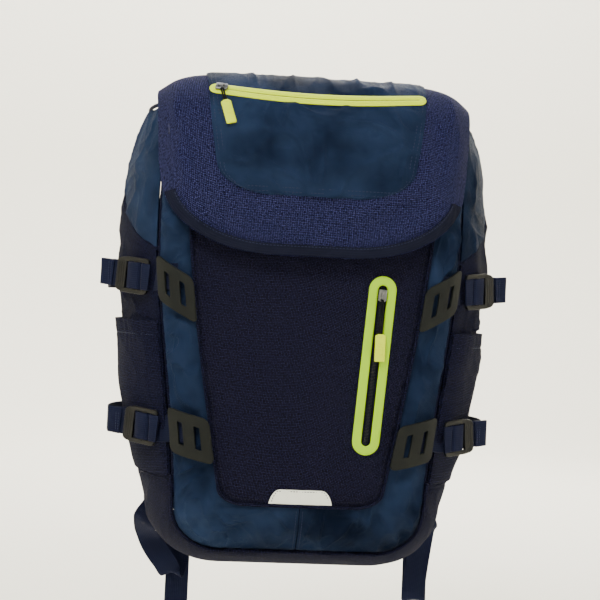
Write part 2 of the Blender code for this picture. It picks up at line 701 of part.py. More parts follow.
def build_lid(parts):
    """Lid shell, blue top panel, lining, hem, zip and the closing tape under it."""
    lid = LidSurface()
    middle = lid.at_height(LID_ZIP_HEIGHT)
    slot = [middle - LID_ZIP_SLOT, middle + LID_ZIP_SLOT]
    upper = [0.0, 18.0, 40.0, 65.0, 92.0, 118.0, 140.0]
    upper = [v for v in upper if v < slot[0] - 9.0]
    lower = [v for v in (slot[1] + 12.0, slot[1] + 30.0, slot[1] + 55.0) if v < lid.corner_start - 8.0]
    foot = lid.at_height(PANEL_FOOT)
    ends = [foot - PANEL_CORNER[1] + PANEL_CORNER[1] * math.sin(math.pi / 2 * i / 5) for i in range(6)]
    lower = [v for v in lower if v < ends[0] - 8.0] + ends
    corner = [lid.corner_start + LID_CORNER[1] * math.sin(math.pi / 2 * i / 7) for i in range(8)]
    edge = LID_ZIP_HALF / LID_HALF
    columns = [-1, -0.94, -0.85, -0.76, -edge, -0.5, -0.25, 0, 0.25, 0.5, edge, 0.76, 0.85, 0.94, 1]
    rows = upper + slot + lower + [v for v in corner if v > foot + 4.0]
    slot_row = len(upper)
    skip = {(i, slot_row) for i in range(4, 10)}

    def shell(s, v):
        x = s * lid.half(v)
        return lid.point(x, warped(lid, x, v), 0.0)

    grid("lid_shell", shell, columns, rows, LID_SHELL, NAVY, parts, skip=skip)

    def panel_half(v):
        run, rise = PANEL_CORNER
        side = blend(PANEL_HALF_TOP, PANEL_HALF_LOW, min(max((v - 60.0) / (foot - 60.0), 0.0), 1.0) ** 2.4)
        below = min(max((v - (foot - rise)) / rise, 0.0), 1.0)
        return side - run * (1 - math.sqrt(1 - below * below))

    panel_upper = [4.0] + upper[1:]
    panel_edge = LID_ZIP_HALF / panel_half(middle)

    def panel(s, v):
        x = s * panel_half(v)
        return lid.point(x, warped(lid, x, v), LID_LAYER_GAP)

    panel_columns = [-1, -panel_edge, -0.75, -0.5, -0.25, 0, 0.25, 0.5, 0.75, panel_edge, 1]
    panel_skip = {(i, len(panel_upper)) for i in range(1, 9)}
    grid(
        "lid_panel", panel, panel_columns, panel_upper + slot + lower, PANEL_THICK, BLUE, parts,
        outward=True, skip=panel_skip,
    )

    def lining(s, v):
        x = s * (lid.half(v) - 6.0)
        edge_share = min(v / 22.0, (lid.length - 8.0 - v) / 22.0, 1.0)
        room = (1 - abs(s) ** 8) * math.sqrt(max(edge_share, 0.0))
        return lid.point(x, v, -(LID_SHELL + LID_LAYER_GAP + LID_SEAT + LID_POCKET * room))

    levels = [0.0, 4.0, 11.0, 22.0] + spread(50.0, lid.length - 30.0, 10)[:-1]
    levels += [lid.length - 30.0, lid.length - 19.0, lid.length - 11.0, lid.length - 8.2]
    lining_columns = [-1, -0.97, -0.9, -0.75, -0.5, -0.25, 0, 0.25, 0.5, 0.75, 0.9, 0.97, 1]
    grid("lid_lining", lining, lining_columns, levels, LID_LINING, LINING, parts)

    def hem(share, a):
        angle = abs(a) * math.pi / 2
        run, rise = LID_CORNER
        side = -1 if a < 0 else 1
        x = LID_LOW_HALF - run * (1 - math.sin(angle)) - 0.8
        v = lid.corner_start + rise * math.cos(angle)
        inward = Vector((math.sin(angle) / run, math.cos(angle) / rise)).normalized() * (HEM_WIDTH * share)
        return lid.point(side * (x - inward.x), v - 0.6 - inward.y, LID_LAYER_GAP)

    def hem_run(share, place):
        """The right corner, the level middle and the left corner as one run."""
        if abs(place) <= 1.0:
            flat = LID_LOW_HALF - LID_CORNER[0]
            return lid.point(place * flat, lid.length - 0.6 - HEM_WIDTH * share, LID_LAYER_GAP)
        return hem(share, math.copysign(abs(place) - 1.0, place))

    places = [-1.85, -1.7, -1.5, -1.35, -1.2, -1.1, -1, -0.5, 0, 0.5, 1, 1.1, 1.2, 1.35, 1.5, 1.7, 1.85]
    grid("lid_hem", hem_run, [0.0, 0.5, 1.0], places, 1.0, WEBBING, parts, outward=True)
    build_lid_zip(lid, parts)
    build_closure(lid, parts)
    return lid


def build_lid_zip(lid, parts):
    """Neon welts round the slot, the chain under them, and the slider with its pull."""

    def on_lid(lift):
        return lambda x, v: lid.point(x, lid.zip_place(x) + v, lift)

    outer = stadium(LID_ZIP_HALF + 3.0, 6.0, along_x=True)
    inner = stadium(LID_ZIP_HALF - 3.0, 0.8, along_x=True)
    loop_strip("lid_zip_welt", on_lid(LID_LAYER_GAP + PANEL_THICK + GAP), outer, inner, 1.2, NEON, parts)

    def chain(v, x):
        return on_lid(GAP)(x, v)

    half = LID_ZIP_HALF - 1.5
    width = LID_ZIP_SLOT - GAP - 0.6
    grid("lid_zip_chain", chain, [-width, width], spread(-half, half, 13), 1.0, TAPE, parts)

    start = -LID_ZIP_HALF + 8.0
    lift = LID_LAYER_GAP + PANEL_THICK + 1.2 + 4 * GAP
    here = lid.point(start, lid.zip_place(start), lift)
    step = lid.point(start + 1.0, lid.zip_place(start + 1.0), lift) - here
    right = step.normalized()
    facing = lid.profile(lid.zip_place(start))[1]
    out = (facing - right * facing.dot(right)).normalized()
    make_slider("lid_zip_slider", here, right, out, parts)
    pull_out, cord, grip = 3.5, 12.0, 24.0
    place = lid.zip_place(start)
    eye = lid.point(start + 1.0, place + 6.2, lift + pull_out)
    tip = lid.point(start + 12.0, place + cord + grip + 6.0, lift + pull_out - 1.0)
    make_pull("lid_zip_pull", eye, tip - eye, out, cord, 9.5, grip, parts)


def make_slider(name, here, run, out, parts):
    """Zip slider: a rounded body with a raised bridge for the pull."""
    across = out.cross(run)
    shape = bmesh.new()
    for size, lift in (((11.0, 8.0, 2.6), 1.3), ((6.0, 2.6, 2.4), 3.6)):
        made = bmesh.ops.create_cube(shape, size=1.0)
        matrix = Matrix.Translation((0, 0, lift * MM)) @ Matrix.Diagonal((*(Vector(size) * MM), 1.0))
        bmesh.ops.transform(shape, matrix=matrix, verts=made["verts"])
        if lift > 2:
            bmesh.ops.translate(shape, verts=made["verts"], vec=(0, 0, -0.2 * MM))
    mesh = bpy.data.meshes.new(name)
    shape.to_mesh(mesh)
    shape.free()
    obj = keep(bpy.data.objects.new(name, mesh), METAL, parts)
    placed(obj, here, run, across, out)
    remesh_union(obj)
    return obj


def remesh_union(obj):
    """Joins an object's overlapping closed shells into one body."""
    shape = bmesh.new()
    shape.from_mesh(obj.data)
    islands = []
    left = set(shape.verts)
    while left:
        stack, island = [left.pop()], set()
        while stack:
            vert = stack.pop()
            island.add(vert)
            for edge in vert.link_edges:
                other = edge.other_vert(vert)
                if other in left:
                    left.discard(other)
                    stack.append(other)
        islands.append(island)
    meshes = []
    for island in islands:
        order = {vert: i for i, vert in enumerate(sorted(island, key=lambda v: v.index))}
        faces = [[order[v] for v in face.verts] for face in shape.faces if face.verts[0] in island]
        meshes.append(([v.co.copy() for v in order], faces))
    shape.free()
    first = bpy.data.meshes.new(obj.name)
    first.from_pydata(*[meshes[0][0], [], meshes[0][1]])
    first.materials.append(obj.data.materials[0])
    obj.data = first
    for i, (verts, faces) in enumerate(meshes[1:]):
        other = mesh_object(f"{obj.name}_joined_{i}", verts, faces, NAVY, CUTTERS[0], scale=False)
        other.matrix_world = obj.matrix_world.copy()
        other.hide_render = True
        other.display_type = "WIRE"
        modifier = obj.modifiers.new("Join", "BOOLEAN")
        modifier.operation = "UNION"
        modifier.object = other


CUTTERS = []


def make_pull(name, eye, down, out, cord, tab_width, tab_length, parts):
    """Zip pull: a short cord down from the slider's eye and a moulded grip at its end."""
    shape = bmesh.new()
    cord_size = (2.4, 2.0, cord + 2.0)
    tab_size = (tab_width, 3.0, tab_length)
    for size, drop in ((cord_size, cord / 2), (tab_size, cord + tab_length / 2)):
        made = bmesh.ops.create_cube(shape, size=1.0)
        matrix = Matrix.Translation((0, 0, -drop * MM)) @ Matrix.Diagonal((*(Vector(size) * MM), 1.0))
        bmesh.ops.transform(shape, matrix=matrix, verts=made["verts"])
    mesh = bpy.data.meshes.new(name)
    shape.to_mesh(mesh)
    shape.free()
    obj = keep(bpy.data.objects.new(name, mesh), NEON, parts)
    up = -down.normalized()
    out = (out - up * out.dot(up)).normalized()
    placed(obj, eye, out.cross(up), -out, up)
    bpy.context.view_layer.update()
    remesh_union(obj)
    return obj


def build_front_zip(parts):
    """Neon ring welded round the slot, the chain in the slot, and the slider with its pull."""
    outer = stadium(ZIP_RING[0], ZIP_RING[1], ZIP_TILT, ZIP_MIDDLE)
    inner = stadium(ZIP_SLOT[0] - 1.0, ZIP_SLOT[1] - 0.6, ZIP_TILT, ZIP_MIDDLE)
    loop_strip("front_zip_ring", ring_point(GAP), outer, inner, RING_THICK, NEON, parts)

    def chain(a, b):
        x = ZIP_MIDDLE[0] + a * math.cos(ZIP_TILT) + b * math.sin(ZIP_TILT)
        height = ZIP_MIDDLE[1] - a * math.sin(ZIP_TILT) + b * math.cos(ZIP_TILT)
        return ring_point(-0.2)(x, height)

    width, length = ZIP_SLOT[1] - GAP - 0.2, ZIP_SLOT[0] - GAP - 1.6
    edges = [-width * 0.75, width * 0.75]
    grid("front_zip_chain", chain, edges, spread(-length, length, 12), 1.4, TAPE, parts)

    top = ZIP_SLOT[0] - 12.0
    x = ZIP_MIDDLE[0] + top * math.sin(ZIP_TILT)
    height = ZIP_MIDDLE[1] + top * math.cos(ZIP_TILT)
    here = ring_point(GAP + RING_THICK + GAP)(x, height)
    flat = ring_point(0.0)
    run = (flat(x - math.sin(ZIP_TILT), height - math.cos(ZIP_TILT)) - flat(x, height)).normalized()
    out = Vector((0, -1, 0))
    out = (out - run * out.dot(run)).normalized()
    make_slider("front_zip_slider", here, run, out, parts)
    eye = here + out * 3.4 + run * 6.8
    make_pull("front_zip_pull", eye, Vector((0.0, 0.0, -1.0)), out, 30.0, 10.0, 25.0, parts)


def build_closure(lid, parts):
    """Hook tape under the lid and loop tape on the front panel, which close the lid."""
    low, high = 326.0, 346.0

    def loop(s, v):
        x, height = s * 40.0, blend(low, high, v)
        return Vector((x, front_depth(x, height) - GAP, height))

    grid("loop_tape", loop, spread(-1, 1, 5), spread(0, 1, 3), 1.0, TAPE, parts, outward=True)

    def hook(s, v):
        place = lid.at_height(blend(low, high, v))
        layers = LID_SHELL + LID_POCKET + LID_LINING + 2 * LID_LAYER_GAP + LID_SEAT
        return lid.point(s * 40.0, place, -layers)

    grid("hook_tape", hook, spread(-1, 1, 5), spread(0, 1, 3), 1.0, TAPE, parts)


# ---------------------------------------------------------------- straps


def build_compression_straps(parts):
    """At each corner a lash tab, an anchor band, a ladder lock and an adjustable band with its tail."""
    for side, word in ((-1, "left"), (1, "right")):
        for level, height in STRAP_HEIGHTS.items():
            name = f"{level}_{word}"
            build_lash_tab(f"lash_tab_{name}", side, height, TAB_SLOPE[level], parts)
            k = side_k(height)
            middle = side_point(side, k, LOCK_AT)
            ahead = side_point(side, k, LOCK_AT + 0.02)
            run = (ahead - side_point(side, k, LOCK_AT - 0.02)).normalized()
            run.z = 0.0
            run.normalize()
            out = Vector((run.y, -run.x, 0.0))
            if out.dot(middle - Vector((0, -85.0, middle.z))) < 0:
                out = -out
            lift = LOCK_LIFT + (SIDE_POCKET_EASE * 0.5 if height < SIDE_POCKET_TOP else 0.0)
            origin = Vector((middle.x, middle.y, height)) + out * lift
            build_lock(f"ladder_lock_{name}", origin, run, out, parts)
            build_bands(name, side, height, origin, run, out, parts)


def build_lash_tab(name, side, height, slope, parts):
    def point(a, b):
        """a from the front seam to the side seam, b from the foot to the top of the tab."""
        level = height - slope * (1 - a) + (b - 0.5) * TAB_HEIGHT
        return gusset_offset(side, level, a * 0.9, BAND_LIFT + WEB + 1.3)

    skip = {(1, 1), (3, 1)}
    grid(name, point, [0.0, 0.24, 0.36, 0.62, 0.74, 1.0], [0.0, 0.25, 0.75, 1.0], TAB_THICK, RUBBER, parts,
         outward=True, skip=skip)


LOCK_BARS = (-18.0, -13.0, -4.5, -0.5, 8.5, 18.0)  # edges of the anchor and middle bars and the lip


def build_lock(name, origin, run, out, parts):
    """Ladder lock: a frame with two slots, between an anchor bar, a middle bar and a thumb lip."""
    up = out.cross(run)
    half = LOCK_WIDTH / 2
    rows = [-half, -half + 4.0, half - 4.0, half]
    verts = [Vector((a, b, 0.0)) * MM for b in rows for a in LOCK_BARS]
    wide = len(LOCK_BARS)
    faces = [
        (j * wide + i, j * wide + i + 1, (j + 1) * wide + i + 1, (j + 1) * wide + i)
        for j in range(3)
        for i in range(wide - 1)
        if (i, j) not in {(1, 1), (3, 1)}
    ]
    obj = mesh_object(name, verts, faces, PLASTIC, parts, scale=False)
    solidify(obj, LOCK_THICK, 0.0)
    return placed(obj, origin, run, up, out)


BAND_BOW = ((0.995, 0.0), (0.97, 0.6), (0.9, 2.0), (0.78, 4.0), (0.66, 6.0), (0.55, 6.5), (0.45, 5.0))
LOCK_UNDER = -(LOCK_THICK / 2 + WEB / 2 + 0.4)  # a band's middle under a lock
LOCK_OVER = LOCK_THICK / 2 + WEB / 2 + 0.7  # and over it


def fold(at):
    """The stretch of a band that goes round a lock's middle bar, from under it to over it."""
    under, over = LOCK_UNDER, LOCK_OVER
    return [
        at(0.0, under),
        at(-6.2, under + 0.1),
        at(-8.2, under + 1.2),
        at(-8.9, -0.8),
        at(-8.9, 0.8),
        at(-8.2, over - 1.2),
        at(-6.2, over - 0.1),
        at(0.0, over),
    ]


def build_bands(name, side, height, origin, run, out, parts):
    """Anchor band from the gusset to the lock, and the band from the back seam through it."""
    under, over = LOCK_UNDER, LOCK_OVER
    upright = Vector((0, 0, 1))

    def at(a, n):
        return origin + run * a + out * n

    k = side_k(height)
    anchor = [gusset_offset(side, height, 0.4, WEB / 2 + 0.6)]
    anchor += [gusset_offset(side, height, t, WEB / 2 + BAND_LIFT) for t in (0.52, 0.64, 0.76, 0.88, 0.95)]
    anchor += [
        at(-21.0, under - 0.9), at(-15.0, under), at(-12.6, under + 0.1), at(-11.2, -1.4), at(-11.2, 1.4),
        at(-12.6, over - 0.1), at(-15.0, over), at(-21.0, over - 0.4),
    ]
    count = len(anchor)
    ribbon(f"anchor_band_{name}", anchor, [upright] * count, [WEB_WIDTH] * count, WEB, WEBBING, parts)

    lift = 4.0 + (SIDE_POCKET_EASE + 2.0 if height < SIDE_POCKET_TOP else 0.0)
    band = []
    for t, bow in BAND_BOW:
        near = lift if t < 0.94 else 2.0
        place = side_offset(side, k, t, near + bow)
        band.append(Vector((place.x, place.y, height)))
    band += [at(30.0, under + 0.6), at(20.0, under)] + fold(at)
    band += [at(14.0, over + 0.2), at(21.0, over + 2.6), at(29.0, over + 7.0), at(36.0, over + 10.0)]
    ribbon(f"side_band_{name}", band, [upright] * len(band), [WEB_WIDTH] * len(band), WEB, WEBBING, parts)


SHOULDER_RUN = (
    (69.0, 4.3, 422.5),
    (69.0, 9.0, 412.0),
    (69.0, 18.6, 394.0),
    (71.0, 23.0, 340.0),
    (80.0, 24.5, 240.0),
    (98.0, 24.5, 140.0),
)
SHOULDER_ENDS = {"left": Vector((-113.0, 24.0, 12.0)), "right": Vector((146.0, 24.0, 24.0))}
LOOP_LOW = {"left": 28.0, "right": 62.0}  # how far each lower band hangs below its lock


def build_shoulder_straps(parts):
    """Padded straps down the back, their ladder locks, and the lower bands looped through them."""
    for side, word in ((-1, "left"), (1, "right")):
        end = SHOULDER_ENDS[word]
        knots = [Vector((side * x, y, height)) for x, y, height in SHOULDER_RUN]
        knots.append(Vector((end.x * 0.97, 24.0, end.z + 52.0)))
        knots.append(Vector((end.x, end.y, end.z + 18.0)))
        path = smooth_path(knots, 25)
        widths = [62.0 if i < 17 else blend(62.0, 30.0, (i - 16) / 8) for i in range(25)]
        across = [Vector((1, 0, 0.12 * side))] * 25
        ribbon(f"shoulder_strap_{word}", path, across, widths, STRAP_PAD, MESH, parts)
        run, out = Vector((0, 0, -1)), Vector((0, 1, 0))
        lock = end - Vector((0, 0, 2.4))
        build_lock(f"shoulder_lock_{word}", lock, run, out, parts)
        build_lower_band(side, word, lock, parts)


def build_lower_band(side, word, lock, parts):
    """Band from the base corner down past the lock and back up through it."""
    under, over = LOCK_UNDER, LOCK_OVER
    low = lock.z - LOOP_LOW[word] - 18.0
    corner = side_point(side, 0.735, 0.86)
    start = corner + Vector((side * 3.0, 0.0, -1.6))
    level = Vector((1, 0, 0))
    knots = [
        start,
        start + Vector((side * 9.0, 2.0, -16.0)),
        Vector((blend(start.x, lock.x, 0.15) + side * 8, 2.0, lock.z - 8.0)),
        Vector((blend(start.x, lock.x, 0.45), 6.0, low + 14.0)),
        Vector((blend(start.x, lock.x, 0.8), 12.0, low)),
        Vector((lock.x, 19.0, low + 12.0)),
    ]
    path = smooth_path(knots, 16)
    across = [Vector((side * 0.55, 0.0, 0.85))] * 3 + [Vector((side * 0.9, 0, 0.3))] * 3 + [level * side] * 10

    def at(a, n):
        return lock + Vector((0, n, -a))

    path += [at(22.0, under)] + fold(at)
    path += [at(16.0, over + 0.2), at(34.0, over + 2.0), at(58.0, over + 1.0), at(84.0, over + 0.5)]
    across += [level * side] * 13
    ribbon(f"lower_band_{word}", path, across, [WEB_WIDTH] * len(path), WEB, WEBBING, parts)


def build_haul_loop(parts):
    """Webbing loop behind the top edge, that the bag hangs from."""
    path = [Vector((-LOOP_HALF - 2.0, 0, HANG_HEIGHT - LOOP_RISE - 24.0))]
    for i in range(17):
        angle = math.pi * (1 - i / 16)
        rise = (LOOP_RISE + LOOP_THICK / 2) * math.sin(angle)
        path.append(Vector((LOOP_HALF * math.cos(angle), 0, HANG_HEIGHT - LOOP_RISE + rise)))
    path.append(Vector((LOOP_HALF + 2.0, 0, HANG_HEIGHT - LOOP_RISE - 24.0)))
    path = [p + Vector((0, LOOP_MIDDLE, 0)) for p in path]
    across = [Vector((0, 1, 0))] * len(path)
    ribbon("haul_loop", path, across, [LOOP_WIDTH] * len(path), LOOP_THICK, WEBBING, parts)


def main():
    clear_scene()
    parts = new_collection("backpack")
    cutters = new_collection("backpack_cutters")
    CUTTERS.append(cutters)
    build_front(parts, cutters)
    build_gussets(parts)
    build_sides(parts)
    build_back(parts)
    build_side_pockets(parts)
    build_patch(parts)
    build_lid(parts)
    build_front_zip(parts)
    build_compression_straps(parts)
    build_shoulder_straps(parts)
    build_haul_loop(parts)
    bpy.context.view_layer.update()


if __name__ == "__main__":
    main()
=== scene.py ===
"""Looks of a top-lid day backpack that hangs by its haul loop.

Sizes are in millimetres and heights are counted up from the foot of the bag, as the bag's maker would
measure it. world() turns them into metres, with the origin at the inner top of the haul loop. X runs to
the right seen from the front, Y runs from the front to the wearer's back, and Z is up.
"""

from __future__ import annotations

import json
import logging
import math
from bisect import bisect_right
from dataclasses import dataclass, field
from enum import Enum
from typing import Callable, Iterable, Sequence, TypeVar

import bmesh
import bpy
import numpy as np
from mathutils import Matrix, Vector

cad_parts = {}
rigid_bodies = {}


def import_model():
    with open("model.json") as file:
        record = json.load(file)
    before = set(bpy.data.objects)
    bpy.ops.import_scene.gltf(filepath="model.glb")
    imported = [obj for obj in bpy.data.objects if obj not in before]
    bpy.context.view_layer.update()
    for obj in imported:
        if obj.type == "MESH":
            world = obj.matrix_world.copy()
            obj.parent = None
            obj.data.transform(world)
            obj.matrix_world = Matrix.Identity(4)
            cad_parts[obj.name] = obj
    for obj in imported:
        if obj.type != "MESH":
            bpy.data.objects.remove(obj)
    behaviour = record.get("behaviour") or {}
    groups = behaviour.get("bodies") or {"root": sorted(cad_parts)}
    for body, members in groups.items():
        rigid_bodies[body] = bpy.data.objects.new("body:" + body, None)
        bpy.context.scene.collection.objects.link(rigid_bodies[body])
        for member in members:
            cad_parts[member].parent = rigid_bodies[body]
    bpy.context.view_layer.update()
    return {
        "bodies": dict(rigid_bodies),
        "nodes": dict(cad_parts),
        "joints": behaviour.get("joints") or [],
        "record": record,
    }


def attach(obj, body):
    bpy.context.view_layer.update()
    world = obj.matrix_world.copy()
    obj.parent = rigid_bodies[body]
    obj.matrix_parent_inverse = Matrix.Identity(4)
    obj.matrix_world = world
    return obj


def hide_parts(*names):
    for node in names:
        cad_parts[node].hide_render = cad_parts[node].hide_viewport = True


log = logging.getLogger("backpack")

MM = 0.001
HANG_HEIGHT = 478.0  # inner top of the haul loop above the foot of the bag
LOOP_MIDDLE = 8.3  # the haul loop behind the back seam
RIM_HEIGHT = 440.0  # mouth of the main compartment
BACK_FACE = -8.0  # front face of the back panel
MIDDLE_DEPTH = -85.0  # the bag's middle, from front to back
GAP = 0.3  # clearance between neighbouring pieces
FABRIC = 1.8  # lined shell cloth
WEB = 1.6  # webbing thickness
WEB_WIDTH = 25.0
POCKET_TOP = 236.0  # hem of the side pockets
SEAM_SHARE = 0.007  # share of a panel that its seam takes up
LID_SHELL = 1.6  # cloth of the hood
LID_LAYER = 0.7  # room between the hood and the blue panel over it
ZIP_MIDDLE = (63.0, 203.0)  # x and height of the front zip's middle
ZIP_TILT = math.radians(3.8)
STEP = 2e-3  # share of a surface between two places that show its run
CUT = "Cut"  # UV map with the cloth's own measure
INSIDE = Vector((0.0, MIDDLE_DEPTH, 230.0))
X_AXIS, Y_AXIS, Z_AXIS = Vector((1.0, 0.0, 0.0)), Vector((0.0, 1.0, 0.0)), Vector((0.0, 0.0, 1.0))

Stations = tuple[tuple[float, float], ...]
Colour = tuple[float, float, float]
Outline = tuple[float, float, float]
Blended = TypeVar("Blended", float, Vector, np.ndarray)


class Side(Enum):
    """Left and right as seen from the front."""

    LEFT = -1
    RIGHT = 1

    @property
    def word(self) -> str:
        """The side's name in the node names."""
        return self.name.lower()


class Body(Enum):
    """The rigid bodies that the pieces ride on."""

    BAG = "bag"
    LID = "lid"
    LID_SLIDER = "lid_slider"
    LID_PULL = "lid_pull"
    FRONT_SLIDER = "front_slider"
    FRONT_PULL = "front_pull"


def world(place: Vector) -> Vector:
    """Turns a place in millimetres above the bag's foot into the frame's metres."""
    return Vector((place.x, place.y - LOOP_MIDDLE, place.z - HANG_HEIGHT)) * MM


def blend(a: Blended, b: Blended, share: float) -> Blended:
    """The value a share of the way from a to b."""
    return a + (b - a) * share


def spread(low: float, high: float, count: int) -> list[float]:
    """Evenly spaced numbers, both ends among them."""
    return [blend(low, high, i / (count - 1)) for i in range(count)]


def along(stations: Stations, at: float) -> float:
    """Smooth value at one place through (place, value) stations.

    Args:
        stations: the known places with their values.
        at: the place that is asked for.

    Returns:
        The value, held level past both ends.
    """
    places = [place for place, _ in stations]
    if at <= places[0]:
        return stations[0][1]
    if at >= places[-1]:
        return stations[-1][1]
    i = bisect_right(places, at) - 1

    def slope(j: int) -> float:
        low, high = max(j - 1, 0), min(j + 1, len(stations) - 1)
        return (stations[high][1] - stations[low][1]) / (places[high] - places[low])

    span = places[i + 1] - places[i]
    s = (at - places[i]) / span
    start, end = stations[i][1], stations[i + 1][1]
    return (
        start * (1 + 2 * s) * (1 - s) ** 2
        + end * s * s * (3 - 2 * s)
        + span * (slope(i) * s * (1 - s) ** 2 - slope(i + 1) * s * s * (1 - s))
    )


def smooth_path(points: Sequence[Vector], count: int) -> list[Vector]:
    """Catmull-Rom curve through points.

    Args:
        points: the places that the curve passes.
        count: how many places to return.

    Returns:
        Places evenly spread along the curve's parameter.
    """
    ends = [points[0] * 2 - points[1], *points, points[-1] * 2 - points[-2]]
    result = []
    for step in range(count):
        at = (len(points) - 1) * step / (count - 1)
        i = min(int(at), len(points) - 2)
        s = at - i
        a, b, c, d = ends[i : i + 4]
        result.append(
            0.5 * (2 * b + (c - a) * s + (2 * a - 5 * b + 4 * c - d) * s**2 + (3 * b - a - 3 * c + d) * s**3)
        )
    return result


# ---------------------------------------------------------------- surfaces of the bag


@dataclass
class BagShape:
    """Outer surfaces of the bag's body: its front panel, gussets, sides and base."""

    front_half_at: Stations = ((84, 77), (164, 91), (231, 102), (293, 110), (333, 114), (455, 121))
    gusset_half_at: Stations = ((61, 118), (121, 122), (164, 127), (245, 137), (302, 142), (455, 141))
    side_half_at: Stations = (
        (60, 148), (90, 156), (130, 167), (185, 175), (236, 178), (300, 184), (345, 182), (400, 174),
        (436, 162), (455, 149),
    )
    back_half_at: Stations = ((60, 128), (120, 140), (250, 150), (350, 150), (455, 138))
    front_line: Stations = (
        (0, -148), (69, -168), (110, -172), (120, -172), (320, -172), (330, -172), (390, -168.5),
        (420, -160.5), (440, -151),
    )
    front_foot: float = 69.0
    front_corner: tuple[float, float] = (26.0, 16.0)
    gusset_foot: float = 21.0
    gusset_corner: tuple[float, float] = (45.0, 40.0)
    back_foot: float = 10.0
    back_corner: tuple[float, float] = (60.0, 50.0)
    front_crown: float = 4.0
    gusset_crown: float = 4.0
    gusset_setback: float = 15.0
    foot_bulge: float = 20.0
    side_fullness: float = 0.7
    side_share: float = 0.70
    corner_share: float = 0.18
    base_top: float = 88.0
    shoulder_front: float = 302.0
    shoulder_back: float = 418.0

    def outline(self, halves: Stations, foot: float, corner: tuple[float, float], k: float) -> Outline:
        """Place on a U-shaped outline.

        Args:
            halves: half-widths at heights.
            foot: height of the outline's level foot.
            corner: run and rise of its round corner.
            k: 0 at the rim and 1 under the middle.

        Returns:
            Half-width, height and corner angle.
        """
        run, rise = corner
        shoulder = foot + rise
        widest = along(halves, shoulder)
        if k <= self.side_share:
            height = blend(RIM_HEIGHT, shoulder, k / self.side_share)
            return along(halves, height), height, 0.0
        if k <= self.side_share + self.corner_share:
            angle = (k - self.side_share) / self.corner_share * math.pi / 2
            return widest - run * (1 - math.cos(angle)), shoulder - rise * math.sin(angle), angle
        share = (k - self.side_share - self.corner_share) / (1 - self.side_share - self.corner_share)
        return (widest - run) * (1 - share), foot, math.pi / 2

    def front_outline(self, k: float) -> Outline:
        """Half-width, height and corner angle on the front panel's seam."""
        return self.outline(self.front_half_at, self.front_foot, self.front_corner, k)

    def gusset_outline(self, k: float) -> Outline:
        """Half-width, height and corner angle on the seam between gusset and side."""
        return self.outline(self.gusset_half_at, self.gusset_foot, self.gusset_corner, k)

    def back_outline(self, k: float) -> Outline:
        """Half-width, height and corner angle on the back seam."""
        return self.outline(self.back_half_at, self.back_foot, self.back_corner, k)

    def front_half(self, height: float) -> float:
        """Half-width of the front panel, with its rounded lower corners."""
        run, rise = self.front_corner
        half = along(self.front_half_at, max(height, self.front_foot + rise))
        below = min(max((self.front_foot + rise - height) / rise, 0.0), 1.0)
        return half - run * (1 - math.sqrt(1 - below * below))

    def front_depth(self, x: float, height: float) -> float:
        """Y of the front panel at a place."""
        share = min(abs(x) / along(self.front_half_at, height), 1.0)
        return along(self.front_line, height) - self.front_crown * (1 - share * share)

    def front_place(self, x: float, height: float, lift: float = 0.0) -> Vector:
        """Place on the front panel, moved out by lift."""
        return Vector((x, self.front_depth(x, height) - lift, height))

    def gusset_point(self, side: int, k: float, t: float) -> Vector:
        """Place on the gusset: t is 0 at the front panel's seam and 1 at the side seam."""
        inner, inner_height, _ = self.front_outline(k)
        outer, outer_height, angle = self.gusset_outline(k)
        crown = self.gusset_crown * math.sin(math.pi * t)
        x = blend(inner, outer, t) + crown * math.cos(angle) * 0.5
        height = blend(inner_height, outer_height, t) - crown * math.sin(angle) * 0.5
        seam = self.front_depth(inner, inner_height)
        front = blend(seam, along(self.front_line, outer_height) + self.gusset_setback, t)
        return Vector((side * x, front - crown, height))

    def gusset_k(self, height: float, t: float) -> float:
        """Place along the outlines whose point on the gusset lies at this height."""
        low = self.front_foot + self.front_corner[1]
        shoulder = blend(low, self.gusset_foot + self.gusset_corner[1], t)
        return self.side_share * (RIM_HEIGHT - height) / (RIM_HEIGHT - shoulder)

    def side_point(self, side: int, k: float, t: float) -> Vector:
        """Place on the side and base surface: t is 0 at the gusset seam and 1 at the back seam."""
        outer, outer_height, angle = self.gusset_outline(k)
        back, back_height, _ = self.back_outline(k)
        height = blend(outer_height, back_height, t)
        middle = (outer + back) / 2
        if angle == 0.0:
            bulge = along(self.side_half_at, max(height, self.back_foot + self.back_corner[1])) - middle
        else:
            shoulder = self.gusset_foot + self.gusset_corner[1]
            widest = (along(self.gusset_half_at, shoulder) + along(self.back_half_at, shoulder)) / 2
            upper = along(self.side_half_at, shoulder) - widest
            bulge = blend(upper, self.foot_bulge, math.sin(angle) ** 2)
        bulge *= math.sin(math.pi * t) ** self.side_fullness
        x = blend(outer, back, t) + bulge * math.cos(angle)
        front = along(self.front_line, outer_height) + self.gusset_setback
        return Vector((side * x, blend(front, BACK_FACE, t), max(height - bulge * math.sin(angle), 0.0)))

    def side_k(self, height: float) -> float:
        """Place along the outlines whose point on the side lies at this height."""
        shoulder = self.gusset_foot + self.gusset_corner[1]
        return self.side_share * (RIM_HEIGHT - height) / (RIM_HEIGHT - shoulder)

    def shoulder_k(self, t: float) -> float:
        """Foot of the shoulder panel at a place round the side."""
        return self.side_k(blend(self.shoulder_front, self.shoulder_back, t))

    def level_offset(self, surface: Callable, side: int, k: float, t: float, distance: float) -> Vector:
        """Place of a surface moved out level, square to its run round the bag."""
        here = surface(side, k, t)
        middle = Vector((0.0, MIDDLE_DEPTH, here.z))
        low = min(max(t - STEP / 2, 0.0), 1.0 - STEP)
        run = surface(side, k, low + STEP) - surface(side, k, low)
        out = Vector((run.y, -run.x, 0.0)).normalized()
        return here + (out if out.dot(here - middle) > 0 else -out) * distance

